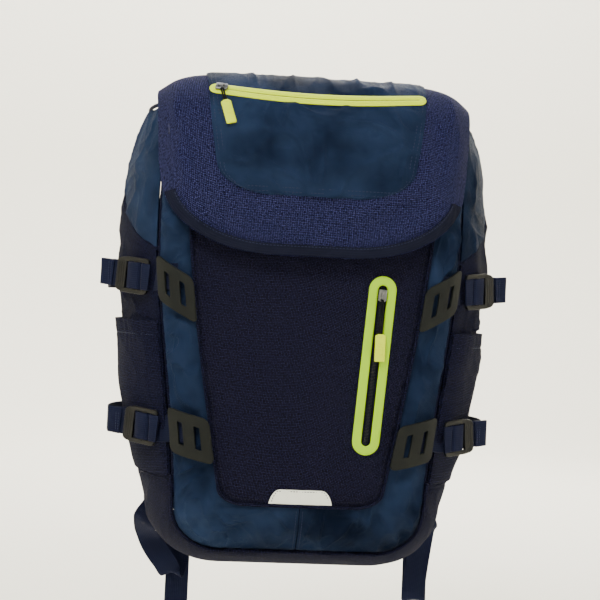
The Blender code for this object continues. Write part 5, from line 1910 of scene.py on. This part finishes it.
        def point(a: float, b: float) -> Vector:
            v, s = blend(0.0, self.lid.length - 8.2, b), blend(-1.0, 1.0, a)
            edge = max(min(v / 22.0, (self.lid.length - 8.0 - v) / 22.0, 1.0), 0.0)
            room = (1 - abs(s) ** 8) * math.sqrt(edge)
            depth = LID_SHELL + LID_LAYER + 1.8 + self.pocket * room
            return self.lid.point(s * (self.lid.half(v) - 6.0), v, -depth)

        sheet = Sheet("lid_lining_cloth", point, 60, 80, self.lining_thick)
        settle_sheet(sheet, Cloths.lining, Body.LID, "lid_lining")

    def hem_place(self, place: float, inset: float, lift: float) -> Vector:
        """Place on the hem's run: -1 to 1 on the level foot, to -2 and 2 up the corners."""
        (run, rise), low = self.lid.corner, self.lid.low_half
        if abs(place) <= 1.0:
            return self.lid.point(place * (low - run), self.lid.length - self.hem_end - inset, lift)
        angle = (abs(place) - 1.0) * math.pi / 2
        inward = Vector((math.sin(angle) / run, math.cos(angle) / rise)).normalized() * inset
        x = low - run * (1 - math.sin(angle)) - 0.8 - inward.x
        v = self.lid.corner_start + rise * math.cos(angle) - self.hem_end - inward.y
        return self.lid.point(math.copysign(x, place), v, lift)

    def hem(self) -> None:
        """The grosgrain hem with a row of stitches along its upper edge."""

        def point(a: float, b: float) -> Vector:
            return self.hem_place(blend(-1.88, 1.88, b), self.hem_width * a, LID_LAYER)

        def relief(lay: Lay) -> np.ndarray:
            return 0.35 * ripple(lay.v, lay.u * 0.2, 16.0, 170) + 0.3

        sheet = Sheet("lid_hem_tape", point, 8, 220, 1.0, relief, outward=True)
        settle_sheet(sheet, Cloths.hem, Body.LID, "lid_hem")
        line = [self.hem_place(p, self.hem_width - 1.6, LID_LAYER + 1.6) for p in spread(-1.85, 1.85, 160)]
        settle(Bench.stitches("lid_hem_stitches", line, forward, 3.2), Cloths.thread, Body.LID)

    def build(self) -> None:
        """Models and dresses every piece."""
        self.shell()
        self.panel()
        self.lining()
        self.hem()


# ---------------------------------------------------------------- zips


def stadium(half_length: float, half_width: float, steps: int, straight: int) -> list[tuple[float, float]]:
    """Closed outline with straight long sides and round ends, as (along, across) pairs."""
    run = half_length - half_width
    half = [(a, half_width) for a in spread(-run, run, straight)]
    for t in spread(0, math.pi, steps + 1)[1:-1]:
        half.append((run + half_width * math.sin(t), half_width * math.cos(t)))
    return half + [(-a, -b) for a, b in half]


@dataclass
class Zip:
    """A zip's slider and pull, which both zips share."""

    name: str
    slider_body: Body
    pull_body: Body

    def slider(self, here: Vector, run: Vector, out: Vector) -> None:
        """Slider: two plates, a nose and a bridge over a ring."""
        across = out.cross(run)
        plates = [
            Bench.block(f"{self.name}_body", (10.6, 7.8, 1.4), (0, 0, 1.9), 0.6),
            Bench.block(f"{self.name}_sole", (10.6, 6.6, 1.2), (0, 0, 0.65), 0.4),
            Bench.block(f"{self.name}_nose", (4.2, 5.2, 2.4), (4.2, 0, 1.4), 0.8),
            Bench.block(f"{self.name}_foot_a", (1.5, 2.4, 1.9), (-2.6, 0, 3.2), 0.4),
            Bench.block(f"{self.name}_foot_b", (1.5, 2.4, 1.9), (2.6, 0, 3.2), 0.4),
            Bench.block(f"{self.name}_bridge", (6.8, 2.4, 1.0), (0, 0, 4.1), 0.45),
        ]
        obj = Bench.join(f"{self.name}_slider_metal", plates)
        Bench.place(obj, here, run, across, out)
        Bench.smooth(obj, 40.0)
        settle(obj, Cloths.metal, self.slider_body, f"{self.name}_slider")

    def pull(self, eye: Vector, down: Vector, out: Vector, cord: float, size: tuple[float, float]) -> None:
        """Cord loop with a moulded grip at its end."""
        up = -down.normalized()
        out = (out - up * out.dot(up)).normalized()
        right = out.cross(up)
        width, length = size
        loop = [eye + right * b + up * (a - cord / 2 - 0.5) for a, b in stadium(cord / 2 + 2.5, 1.0, 8, 10)]
        section = round_section(0.85, 8)
        strands = swept(f"{self.name}_pull_cord", loop, [out] * len(loop), section, closed=True)
        settle(strands, Cloths.cord, self.pull_body)
        middle = (0, 0, -cord - length / 2)
        blocks = [
            Bench.block(f"{self.name}_grip", (width, 2.8, length), middle, min(1.3, width * 0.2), 4),
            Bench.block(f"{self.name}_collar", (width * 0.62, 3.4, 4.0), (0, 0, -cord - 1.2), 1.0, 3),
        ]
        for i in range(5):
            at = -cord - length * (0.34 + 0.13 * i)
            blocks.append(Bench.block(f"{self.name}_rib", (width * 0.72, 3.3, 1.3), (0, 0, at), 0.5, 2))
        grip = Bench.join(f"{self.name}_pull_grip", blocks)
        Bench.place(grip, eye, right, -out, up)
        Bench.smooth(grip, 40.0)
        settle(grip, Cloths.grip, self.pull_body, f"{self.name}_pull")

    def chain(
        self, line: Sequence[Vector], across: Sequence[Vector], body: Body, tape: float, tooth: float
    ) -> None:
        """Tape with a row of coil teeth on its middle."""
        band = swept(f"{self.name}_tape", line, across, band_section(tape, 1.0, steps=4))
        settle(band, Cloths.tape, body, f"{self.name}_chain")
        frames, left = [], 0.6
        for a, b, side in zip(line, line[1:], across):
            run = (b - a).normalized()
            side = (side - run * side.dot(run)).normalized()
            out = side.cross(run)
            if out.y > 0:
                out = -out
            while left < (b - a).length:
                frames.append((a + run * left + out * 0.55, side, out.cross(side), out))
                left += 1.35
            left -= (b - a).length
        teeth = Bench.copies(f"{self.name}_teeth", Bench.bead("tooth", tooth, 0.85, 0.9), frames)
        settle(teeth, Cloths.coil, body)


@dataclass
class LidZip(Zip):
    """Zip over the top of the lid, between two neon welts."""

    lid: LidShape = field(default_factory=LidShape)

    def place(self, x: float, v: float, lift: float) -> Vector:
        """Place beside the zip."""
        return self.lid.point(x, self.lid.zip_place(min(abs(x), self.lid.zip_half)) + v, lift)

    def build(self) -> None:
        """Models and dresses every piece."""
        top = LID_LAYER + 1.0
        path = [self.place(a, b, top + GAP + 0.6) for a, b in stadium(99.0, 3.4, 10, 60)]
        nearby = [self.place(a, b * 2.4, top + GAP + 0.6) for a, b in stadium(101.0, 3.4, 10, 60)]
        section = band_section(6.3, 1.2, 0.45, 6)
        welt = swept("lid_zip_lips", path, between(path, nearby), section, closed=True)
        settle(welt, Cloths.bright, Body.LID, "lid_zip_welt")
        line, ahead = ([self.place(x, v, GAP + 0.3) for x in spread(-96.0, 96.0, 90)] for v in (0.0, 1.0))
        self.chain(line, between(line, ahead), Body.LID, 4.2, 2.6)
        start = -self.lid.zip_half + 8.0
        lift = top + 1.2 + 4 * GAP
        here = self.place(start, 0.0, lift)
        run = (self.place(start + 1.0, 0.0, lift) - here).normalized()
        facing = self.lid.profile(self.lid.zip_place(start))[1]
        out = (facing - run * facing.dot(run)).normalized()
        self.slider(here, run, out)
        eye = self.lid.point(start + 1.0, self.lid.zip_place(start) + 6.2, lift + 3.5)
        tip = self.lid.point(start + 12.0, self.lid.zip_place(start) + 42.0, lift + 2.5)
        self.pull(eye, tip - eye, out, 12.0, (9.5, 24.0))


@dataclass
class FrontZip(Zip):
    """Upright zip of the front pocket, in a neon ring."""

    bag: BagShape = field(default_factory=BagShape)

    @staticmethod
    def local(x: float, height: float) -> tuple[float, float]:
        """Place along and across the tilted zip."""
        dx, dh = x - ZIP_MIDDLE[0], height - ZIP_MIDDLE[1]
        sine, cosine = math.sin(ZIP_TILT), math.cos(ZIP_TILT)
        return dx * sine + dh * cosine, dx * cosine - dh * sine

    def place(self, run: float, side: float, lift: float) -> Vector:
        """Place on the front panel for a place along and across the zip."""
        x = ZIP_MIDDLE[0] + run * math.sin(ZIP_TILT) + side * math.cos(ZIP_TILT)
        height = ZIP_MIDDLE[1] + run * math.cos(ZIP_TILT) - side * math.sin(ZIP_TILT)
        return self.bag.front_place(x, height, lift)

    def build(self) -> None:
        """Models and dresses every piece."""
        ring = stadium(79.6, 8.7, 20, 50)
        path = [self.place(a, b, GAP + 0.8) for a, b in ring]
        nearby = [self.place(a * 1.02, b * 1.3, GAP + 0.8) for a, b in ring]
        section = band_section(8.7, 1.6, 0.35, 8)
        lips = swept("front_zip_lips", path, between(path, nearby), section, closed=True)
        settle(lips, Cloths.neon, Body.BAG, "front_zip_ring")
        line, ahead = ([self.place(a, b, -0.9) for a in spread(-76.0, 76.0, 80)] for b in (0.0, 1.0))
        self.chain(line, between(line, ahead), Body.BAG, 8.8, 4.4)
        top = 66.0
        here = self.place(top, 0.0, GAP + 1.6 + GAP)
        run = (self.place(top - 1.0, 0.0, 0.0) - self.place(top, 0.0, 0.0)).normalized()
        out = (-Y_AXIS - run * (-Y_AXIS).dot(run)).normalized()
        self.slider(here, run, out)
        self.pull(here + out * 3.4 + run * 6.8, -Z_AXIS, out, 30.0, (10.0, 25.0))


@dataclass
class Closure:
    """Hook tape under the lid and loop tape on the front panel."""

    bag: BagShape
    lid: LidShape
    half: float = 40.0
    low: float = 326.0
    high: float = 346.0
    hook_depth: float = 10.9

    def build(self) -> None:
        """Models and dresses both tapes."""

        def loop(a: float, b: float) -> Vector:
            return self.bag.front_place(blend(-self.half, self.half, a), blend(self.low, self.high, b), GAP)

        def hook(a: float, b: float) -> Vector:
            v = self.lid.at_height(blend(self.low, self.high, b))
            return self.lid.point(blend(-self.half, self.half, a), v, -self.hook_depth)

        settle_sheet(Sheet("loop_cloth", loop, 60, 16, 1.0, outward=True), Cloths.fuzz, Body.BAG, "loop_tape")
        settle_sheet(Sheet("hook_cloth", hook, 60, 16, 1.0), Cloths.fuzz, Body.LID, "hook_tape")


# ---------------------------------------------------------------- straps


@dataclass
class Lock:
    """Ladder lock in its own axes: run along the band, n out of the bag."""

    name: str
    origin: Vector
    run: Vector
    out: Vector
    width: float = 34.0
    thick: float = 3.2
    bars: tuple[float, ...] = (-18.0, -13.0, -4.5, -0.5, 8.5, 18.0)
    lip_from: float = 9.0
    lip_rise: float = 2.6

    def lip(self, a: float) -> float:
        """How far the thumb lip has risen at a along the run."""
        return self.lip_rise * (max(a - self.lip_from, 0.0) / self.lip_from) ** 1.6

    @property
    def under(self) -> float:
        """Out from the lock to the middle of a band under it."""
        return -(self.thick / 2 + WEB / 2 + 0.4)

    @property
    def over(self) -> float:
        """Out from the lock to the middle of a band over it."""
        return self.thick / 2 + WEB / 2 + 0.7

    def at(self, a: float, n: float) -> Vector:
        """Place at a along the run and n out."""
        return self.origin + self.run * a + self.out * n

    def fold(self) -> list[Vector]:
        """A band's way round the middle bar, from under the lock to over it."""
        under, over = self.under, self.over
        knots = (
            (0.0, under), (-6.2, under + 0.1), (-8.2, under + 1.2), (-8.9, -0.8),
            (-8.9, 0.8), (-8.2, over - 1.2), (-6.2, over - 0.1), (0.0, over),
        )
        return [self.at(a, n) for a, n in knots]

    def build(self) -> None:
        """The frame with its two slots and its ribbed thumb lip."""
        half, rail = self.width / 2, 4.0
        rows = (-half, -half + rail, half - rail, half)
        obj = Bench.plate(f"{self.name}_frame", self.bars, rows, ((1, 1), (3, 1)), 4.0, 2)

        def lipped(p: Vector) -> Vector:
            taper = 1.0 - 0.10 * max(p.x / MM - self.lip_from, 0.0) / self.lip_from
            return Vector((p.x, p.y * taper, p.z + self.lip(p.x / MM) * MM))

        Bench.move_points(obj, lipped)
        Bench.thicken(obj, self.thick, 0.9, 3, 40.0)
        ribs = [
            Bench.block(f"{self.name}_rib", (1.0, half * 1.35, 1.0), (a, 0, 1.4 + self.lip(a)), 0.35, 2)
            for a in (11.4, 13.6, 15.8)
        ]
        obj = Bench.join(f"{self.name}_frame", [obj, *ribs])
        Bench.place(obj, self.origin, self.run, self.out.cross(self.run), self.out)
        Bench.smooth(obj, 40.0)
        settle(obj, Cloths.plastic, Body.BAG, self.name)


def band(name: str, knots: Sequence[Vector], node: str) -> None:
    """An upright webbing band along knots."""
    path = smooth_path(knots, (len(knots) - 1) * 4 + 1)
    piece = swept(name, path, [Z_AXIS] * len(path), band_section(WEB_WIDTH, WEB, steps=6))
    settle(piece, Cloths.web, Body.BAG, node)


@dataclass
class Compression:
    """Lash tabs, anchor bands, ladder locks and side bands at the four corners."""

    bag: BagShape
    heights: tuple[tuple[str, float, float], ...] = (("upper", 277.0, 22.0), ("lower", 136.0, 10.0))
    tab_width: float = 40.0
    tab_height: float = 42.0
    tab_thick: float = 2.4
    lock_near: float = 5.0
    lock_turn: float = -20.0
    lock_tilt: float = 5.0
    bow: Stations = (
        (0.45, 5.0), (0.55, 6.5), (0.66, 6.0), (0.78, 4.0), (0.9, 2.0), (0.97, 0.6), (0.995, 0.0)
    )

    def tab(self, side: Side, level: str, height: float, slope: float) -> None:
        """The moulded tab with two upright slots, wrapped round the gusset."""
        name = f"lash_tab_{level}_{side.word}"
        columns = [self.tab_width * s for s in (0.0, 0.24, 0.36, 0.62, 0.74, 1.0)]
        rows = [self.tab_height * s for s in (0.0, 0.25, 0.75, 1.0)]
        obj = Bench.plate(f"{name}_sheet", columns, rows, ((1, 1), (3, 1)), 6.0, 4)
        Bench.thicken(obj, self.tab_thick, 0.6, 2, 50.0)

        def wrapped(p: Vector) -> Vector:
            a, b = min(max(p.x / MM / self.tab_width, 0.0), 1.0), p.y / MM / self.tab_height
            at = height - slope * (1 - a) + (b - 0.5) * self.tab_height
            lift = 1.2 + WEB + 1.3 + self.tab_thick / 2 + p.z / MM
            return world(self.bag.gusset_offset(side.value, at, a * 0.9, lift))

        Bench.move_points(obj, wrapped)
        face_out(obj.data)
        Bench.smooth(obj, 40.0)
        settle(obj, Cloths.rubber, Body.BAG, name)

    def lock(self, side: Side, level: str, height: float) -> Lock:
        """The lock just round the corner from the tab."""
        bag = self.bag
        k = bag.side_k(height)
        before, middle, after = (bag.side_point(side.value, k, t) for t in (0.13, 0.15, 0.17))
        run = after - before
        run = Vector((run.x, run.y, 0.0)).normalized()
        out = Vector((run.y, -run.x, 0.0))
        if out.dot(middle - Vector((0, MIDDLE_DEPTH, middle.z))) < 0:
            out = -out
        lift = 6.2 + (3.25 if height < POCKET_TOP else 0.0)
        origin = Vector((middle.x, middle.y, height)) + out * lift - run * self.lock_near
        turn = Matrix.Rotation(math.radians(self.lock_turn) * side.value, 3, "Z")
        tilt = Matrix.Rotation(math.radians(self.lock_tilt) * side.value, 3, turn @ out)
        return Lock(f"ladder_lock_{level}_{side.word}", origin, tilt @ turn @ run, turn @ out)

    def bands(self, side: Side, level: str, height: float, lock: Lock) -> None:
        """The anchor band on the gusset, and the side band with its folded tail."""
        bag, at = self.bag, lock.at
        under, over = lock.under, lock.over
        anchor = [bag.gusset_offset(side.value, height, 0.4, WEB / 2 + 0.6)]
        anchor += [bag.gusset_offset(side.value, height, t, WEB / 2 + 1.2) for t in (0.52, 0.64, 0.76, 0.88)]
        anchor += [
            at(-21.0, under - 0.9), at(-15.0, under), at(-12.6, under + 0.1), at(-11.2, -1.4),
            at(-11.2, 1.4), at(-12.6, over - 0.1), at(-15.0, over), at(-21.0, over - 0.4),
        ]
        name = f"{level}_{side.word}"
        band(f"anchor_webbing_{name}", anchor, f"anchor_band_{name}")
        lift = 4.0 + (8.5 if height < POCKET_TOP else 0.0)
        k = bag.side_k(height)
        knots = []
        for t, bow in reversed(self.bow):
            place = bag.side_offset(side.value, k, t, (lift if t < 0.94 else 2.0) + bow)
            knots.append(Vector((place.x, place.y, height)))
        knots += [at(30.0, under - 2.4), at(20.0, under - 2.3), at(9.0, under - 1.6), *lock.fold()]
        knots += [
            at(3.4, over - 0.9), at(5.9, 0.5), at(7.2, -1.4), at(10.0, under - 0.3), at(18.0, under - 0.2),
            at(27.0, under + 0.6), at(37.0, under + 1.8), at(38.8, under + 2.8), at(37.4, under + 3.7),
            at(31.0, under + 2.9), at(25.0, under + 2.2),
        ]
        band(f"side_webbing_{name}", knots, f"side_band_{name}")
        for row in (27.0, 29.5):
            base = at(row, under + 3.5 + (row - 27.0) * 0.13)
            line = [base + Z_AXIS * z for z in spread(-9.0, 9.0, 8)]
            tail = Bench.stitches(f"tail_stitches_{name}_{int(row)}", line, lambda _: lock.out, 2.4)
            settle(tail, Cloths.thread, Body.BAG)

    def build(self) -> None:
        """Models and dresses every piece."""
        for side in Side:
            for level, height, slope in self.heights:
                self.tab(side, level, height, slope)
                lock = self.lock(side, level, height)
                lock.build()
                self.bands(side, level, height, lock)


@dataclass
class ShoulderStraps:
    """Padded straps down the back, their locks and the lower bands looped through them."""

    bag: BagShape
    run: tuple[tuple[float, float, float], ...] = (
        (69.0, 4.3, 422.5), (69.0, 9.0, 412.0), (69.0, 18.6, 394.0),
        (71.0, 23.0, 340.0), (80.0, 24.5, 240.0), (98.0, 24.5, 140.0),
    )
    end_depth: float = 24.0
    ends: tuple[tuple[Side, float, float, float], ...] = (
        (Side.LEFT, -113.0, 12.0, 28.0), (Side.RIGHT, 146.0, 24.0, 62.0),
    )

    def strap(self, side: Side, end: Vector) -> None:
        """One padded strap, filled, with a sewn edge on both sides."""
        knots = [Vector((side.value * x, y, height)) for x, y, height in self.run]
        knots += [Vector((end.x * 0.97, end.y, end.z + 52.0)), Vector((end.x, end.y, end.z + 18.0))]
        path = smooth_path(knots, 61)
        widths = [1.0 if i < 40 else blend(1.0, 30 / 62, (i - 40) / 20) for i in range(61)]
        across = [Vector((1, 0, 0.12 * side.value))] * 61
        section = band_section(58.0, 5.0, 1.2, 8)
        piece = swept(f"strap_foam_{side.word}", path, across, section, widths=widths)
        fill_up(piece, 1.6, 4.0)
        settle(piece, Cloths.mesh, Body.BAG, f"shoulder_strap_{side.word}")
        for name, edge in (("inner", -1), ("outer", 1)):
            out = across[0].normalized()
            line = [place + out * (edge * 29.6 * w) for place, w in zip(path, widths)]
            section = band_section(6.4, 2.2, 0.3, 4)
            binding = swept(f"strap_binding_{name}_{side.word}", line, [Y_AXIS] * len(line), section)
            settle(binding, Cloths.hem, Body.BAG)

    def lower_band(self, side: Side, lock: Lock, drop: float) -> None:
        """The band from the base corner, down past the lock and back up through it."""
        sign, low = side.value, lock.origin.z - drop - 18.0
        start = self.bag.side_point(sign, 0.735, 0.86) + Vector((sign * 3.0, 0.0, -1.6))
        knots = [
            start,
            start + Vector((sign * 9.0, 2.0, -16.0)),
            Vector((blend(start.x, lock.origin.x, 0.15) + sign * 8, 2.0, lock.origin.z - 8.0)),
            Vector((blend(start.x, lock.origin.x, 0.45), 6.0, low + 14.0)),
            Vector((blend(start.x, lock.origin.x, 0.8), 12.0, low)),
            Vector((lock.origin.x, 19.0, low + 12.0)),
        ]
        path = smooth_path(knots, 46)
        level = Vector((sign, 0, 0))
        turns = [Vector((sign * 0.55, 0.0, 0.85))] * 9 + [Vector((sign * 0.9, 0, 0.3))] * 9 + [level] * 28
        turns = [sum((turns[min(max(i + j, 0), 45)] for j in range(-6, 7)), Vector()) for i in range(46)]
        over = lock.over
        tail = [lock.at(22.0, lock.under), *lock.fold()]
        tail += [lock.at(a, over + n) for a, n in ((16, 0.2), (34, 2.0), (58, 1.0), (84, 0.5))]
        rest = smooth_path([path[-1], *tail], len(tail) * 4 + 1)[1:]
        whole = path + rest
        section = band_section(WEB_WIDTH, WEB, steps=6)
        piece = swept(f"lower_webbing_{side.word}", whole, turns + [level] * len(rest), section)
        settle(piece, Cloths.web, Body.BAG, f"lower_band_{side.word}")

    def build(self) -> None:
        """Models and dresses every piece."""
        for side, x, height, drop in self.ends:
            end = Vector((x, self.end_depth, height))
            self.strap(side, end)
            lock = Lock(f"shoulder_lock_{side.word}", end - Z_AXIS * 2.4, -Z_AXIS, Y_AXIS)
            lock.build()
            self.lower_band(side, lock, drop)


@dataclass
class HaulLoop:
    """Webbing loop behind the top edge."""

    half: float = 32.0
    rise: float = 38.0
    thick: float = 2.0
    width: float = 16.0

    def build(self) -> None:
        """Models and dresses the loop."""
        foot = HANG_HEIGHT - self.rise
        places = [(-self.half - 2.0, -24.0), (-self.half - 1.0, -12.0)]
        for angle in spread(math.pi, 0.0, 41):
            places.append((self.half * math.cos(angle), (self.rise + self.thick / 2) * math.sin(angle)))
        places += [(self.half + 1.0, -12.0), (self.half + 2.0, -24.0)]
        path = [Vector((x, LOOP_MIDDLE, foot + up)) for x, up in places]
        section = band_section(self.width, self.thick, steps=6)
        piece = swept("haul_webbing", path, [Y_AXIS] * len(path), section)
        settle(piece, Cloths.web, Body.BAG, "haul_loop")


# ---------------------------------------------------------------- studio


@dataclass
class Studio:
    """Pale seamless bowl round the hanging bag, soft lamps and the camera, in metres."""

    floor: float = -0.66
    radius: float = 3.4
    wall_height: float = 5.0
    middle: tuple[float, float, float] = (0.0, -0.09, -0.22)
    lens: float = 74.2
    aim: tuple[float, float, float] = (-0.009, -0.18, -0.217)
    distance: float = 1.15
    turn: float = -4.5
    roll: float = 2.7
    sky: float = 0.26

    def backdrop(self) -> None:
        """A floor that curves up into a wall all round."""
        level, bend = self.radius * 0.72, self.radius * 0.28
        profile = [(0.0, 0.0), (level, 0.0)]
        for t in spread(0.1, math.pi / 2, 14):
            profile.append((level + bend * math.sin(t), bend * (1 - math.cos(t))))
        profile.append((self.radius, self.wall_height))
        places = [(x, 0.0, z + self.floor) for x, z in profile]
        obj = drawn("studio_bowl", places, [], [(i, i + 1) for i in range(len(places) - 1)])
        Bench.finish(obj, "SCREW", steps=64, render_steps=64, use_merge_vertices=True, merge_threshold=1e-5)
        Bench.smooth(obj, 60.0)
        graph = Graph("pale_paper")
        graph.set(Base_Color=(0.90, 0.87, 0.77, 1.0), Roughness=0.9)
        obj.data.materials.append(graph.material)

    def lamp(
        self, name: str, where: Sequence[float], aim: Sequence[float], power: float, size: float
    ) -> None:
        """One soft square lamp."""
        data = bpy.data.lights.new(name, "AREA")
        data.energy = power
        data.size = size
        obj = linked(name, data)
        obj.location = where
        way = Vector(aim) - Vector(where)
        obj.rotation_euler = way.to_track_quat("-Z", "Y").to_euler()

    def light(self) -> None:
        """Key, fill, rear and wall lamps with a pale sky."""
        self.lamp("key_lamp", (-0.7, -1.6, 1.5), self.middle, 46.0, 0.6)
        self.lamp("fill_lamp", (1.5, -1.6, 0.2), self.middle, 4.0, 1.2)
        self.lamp("rear_lamp", (0.9, 1.8, 0.9), self.middle, 30.0, 1.4)
        self.lamp("wall_lamp", (0.0, 1.6, 2.6), (0.0, self.radius, 0.0), 230.0, 1.6)
        sky = bpy.data.worlds.new("pale_sky")
        sky.use_nodes = True
        background = sky.node_tree.nodes["Background"]
        background.inputs["Color"].default_value = (0.97, 0.975, 1.0, 1.0)
        background.inputs["Strength"].default_value = self.sky
        bpy.context.scene.world = sky

    def camera(self) -> None:
        """Camera level with the bag's middle, a little to its left and turned with the hanging bag."""
        data = bpy.data.cameras.new("front_camera")
        data.lens = self.lens
        data.sensor_width = 36.0
        obj = linked("front_camera", data)
        turn, aim = math.radians(self.turn), Vector(self.aim)
        obj.location = aim + Vector((math.sin(turn), -math.cos(turn), 0.0)) * self.distance
        level = (aim - obj.location).to_track_quat("-Z", "Y").to_matrix().to_4x4()
        roll = Matrix.Rotation(math.radians(self.roll), 4, "Z")
        obj.matrix_world = Matrix.Translation(obj.location) @ level @ roll
        bpy.context.scene.camera = obj

    def build(self) -> None:
        """Builds everything that isn't the bag."""
        self.backdrop()
        self.light()
        self.camera()


def main() -> None:
    """Builds the bag piece by piece, front to back."""
    logging.basicConfig(level=logging.INFO, format="%(message)s")
    bag, lid = BagShape(), LidShape()
    Studio().build()
    assemblies = (
        FrontPanel(bag),
        PocketLining(bag),
        Gussets(bag),
        Sides(bag),
        Base(bag),
        Back(bag),
        LidHood(lid),
        LidZip("lid_zip", Body.LID_SLIDER, Body.LID_PULL, lid),
        FrontZip("front_zip", Body.FRONT_SLIDER, Body.FRONT_PULL, bag),
        Closure(bag, lid),
        Compression(bag),
        ShoulderStraps(bag),
        HaulLoop(),
    )
    for assembly in assemblies:
        log.info("building %s", type(assembly).__name__)
        assembly.build()


if __name__ == "__main__":
    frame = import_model()
    main()
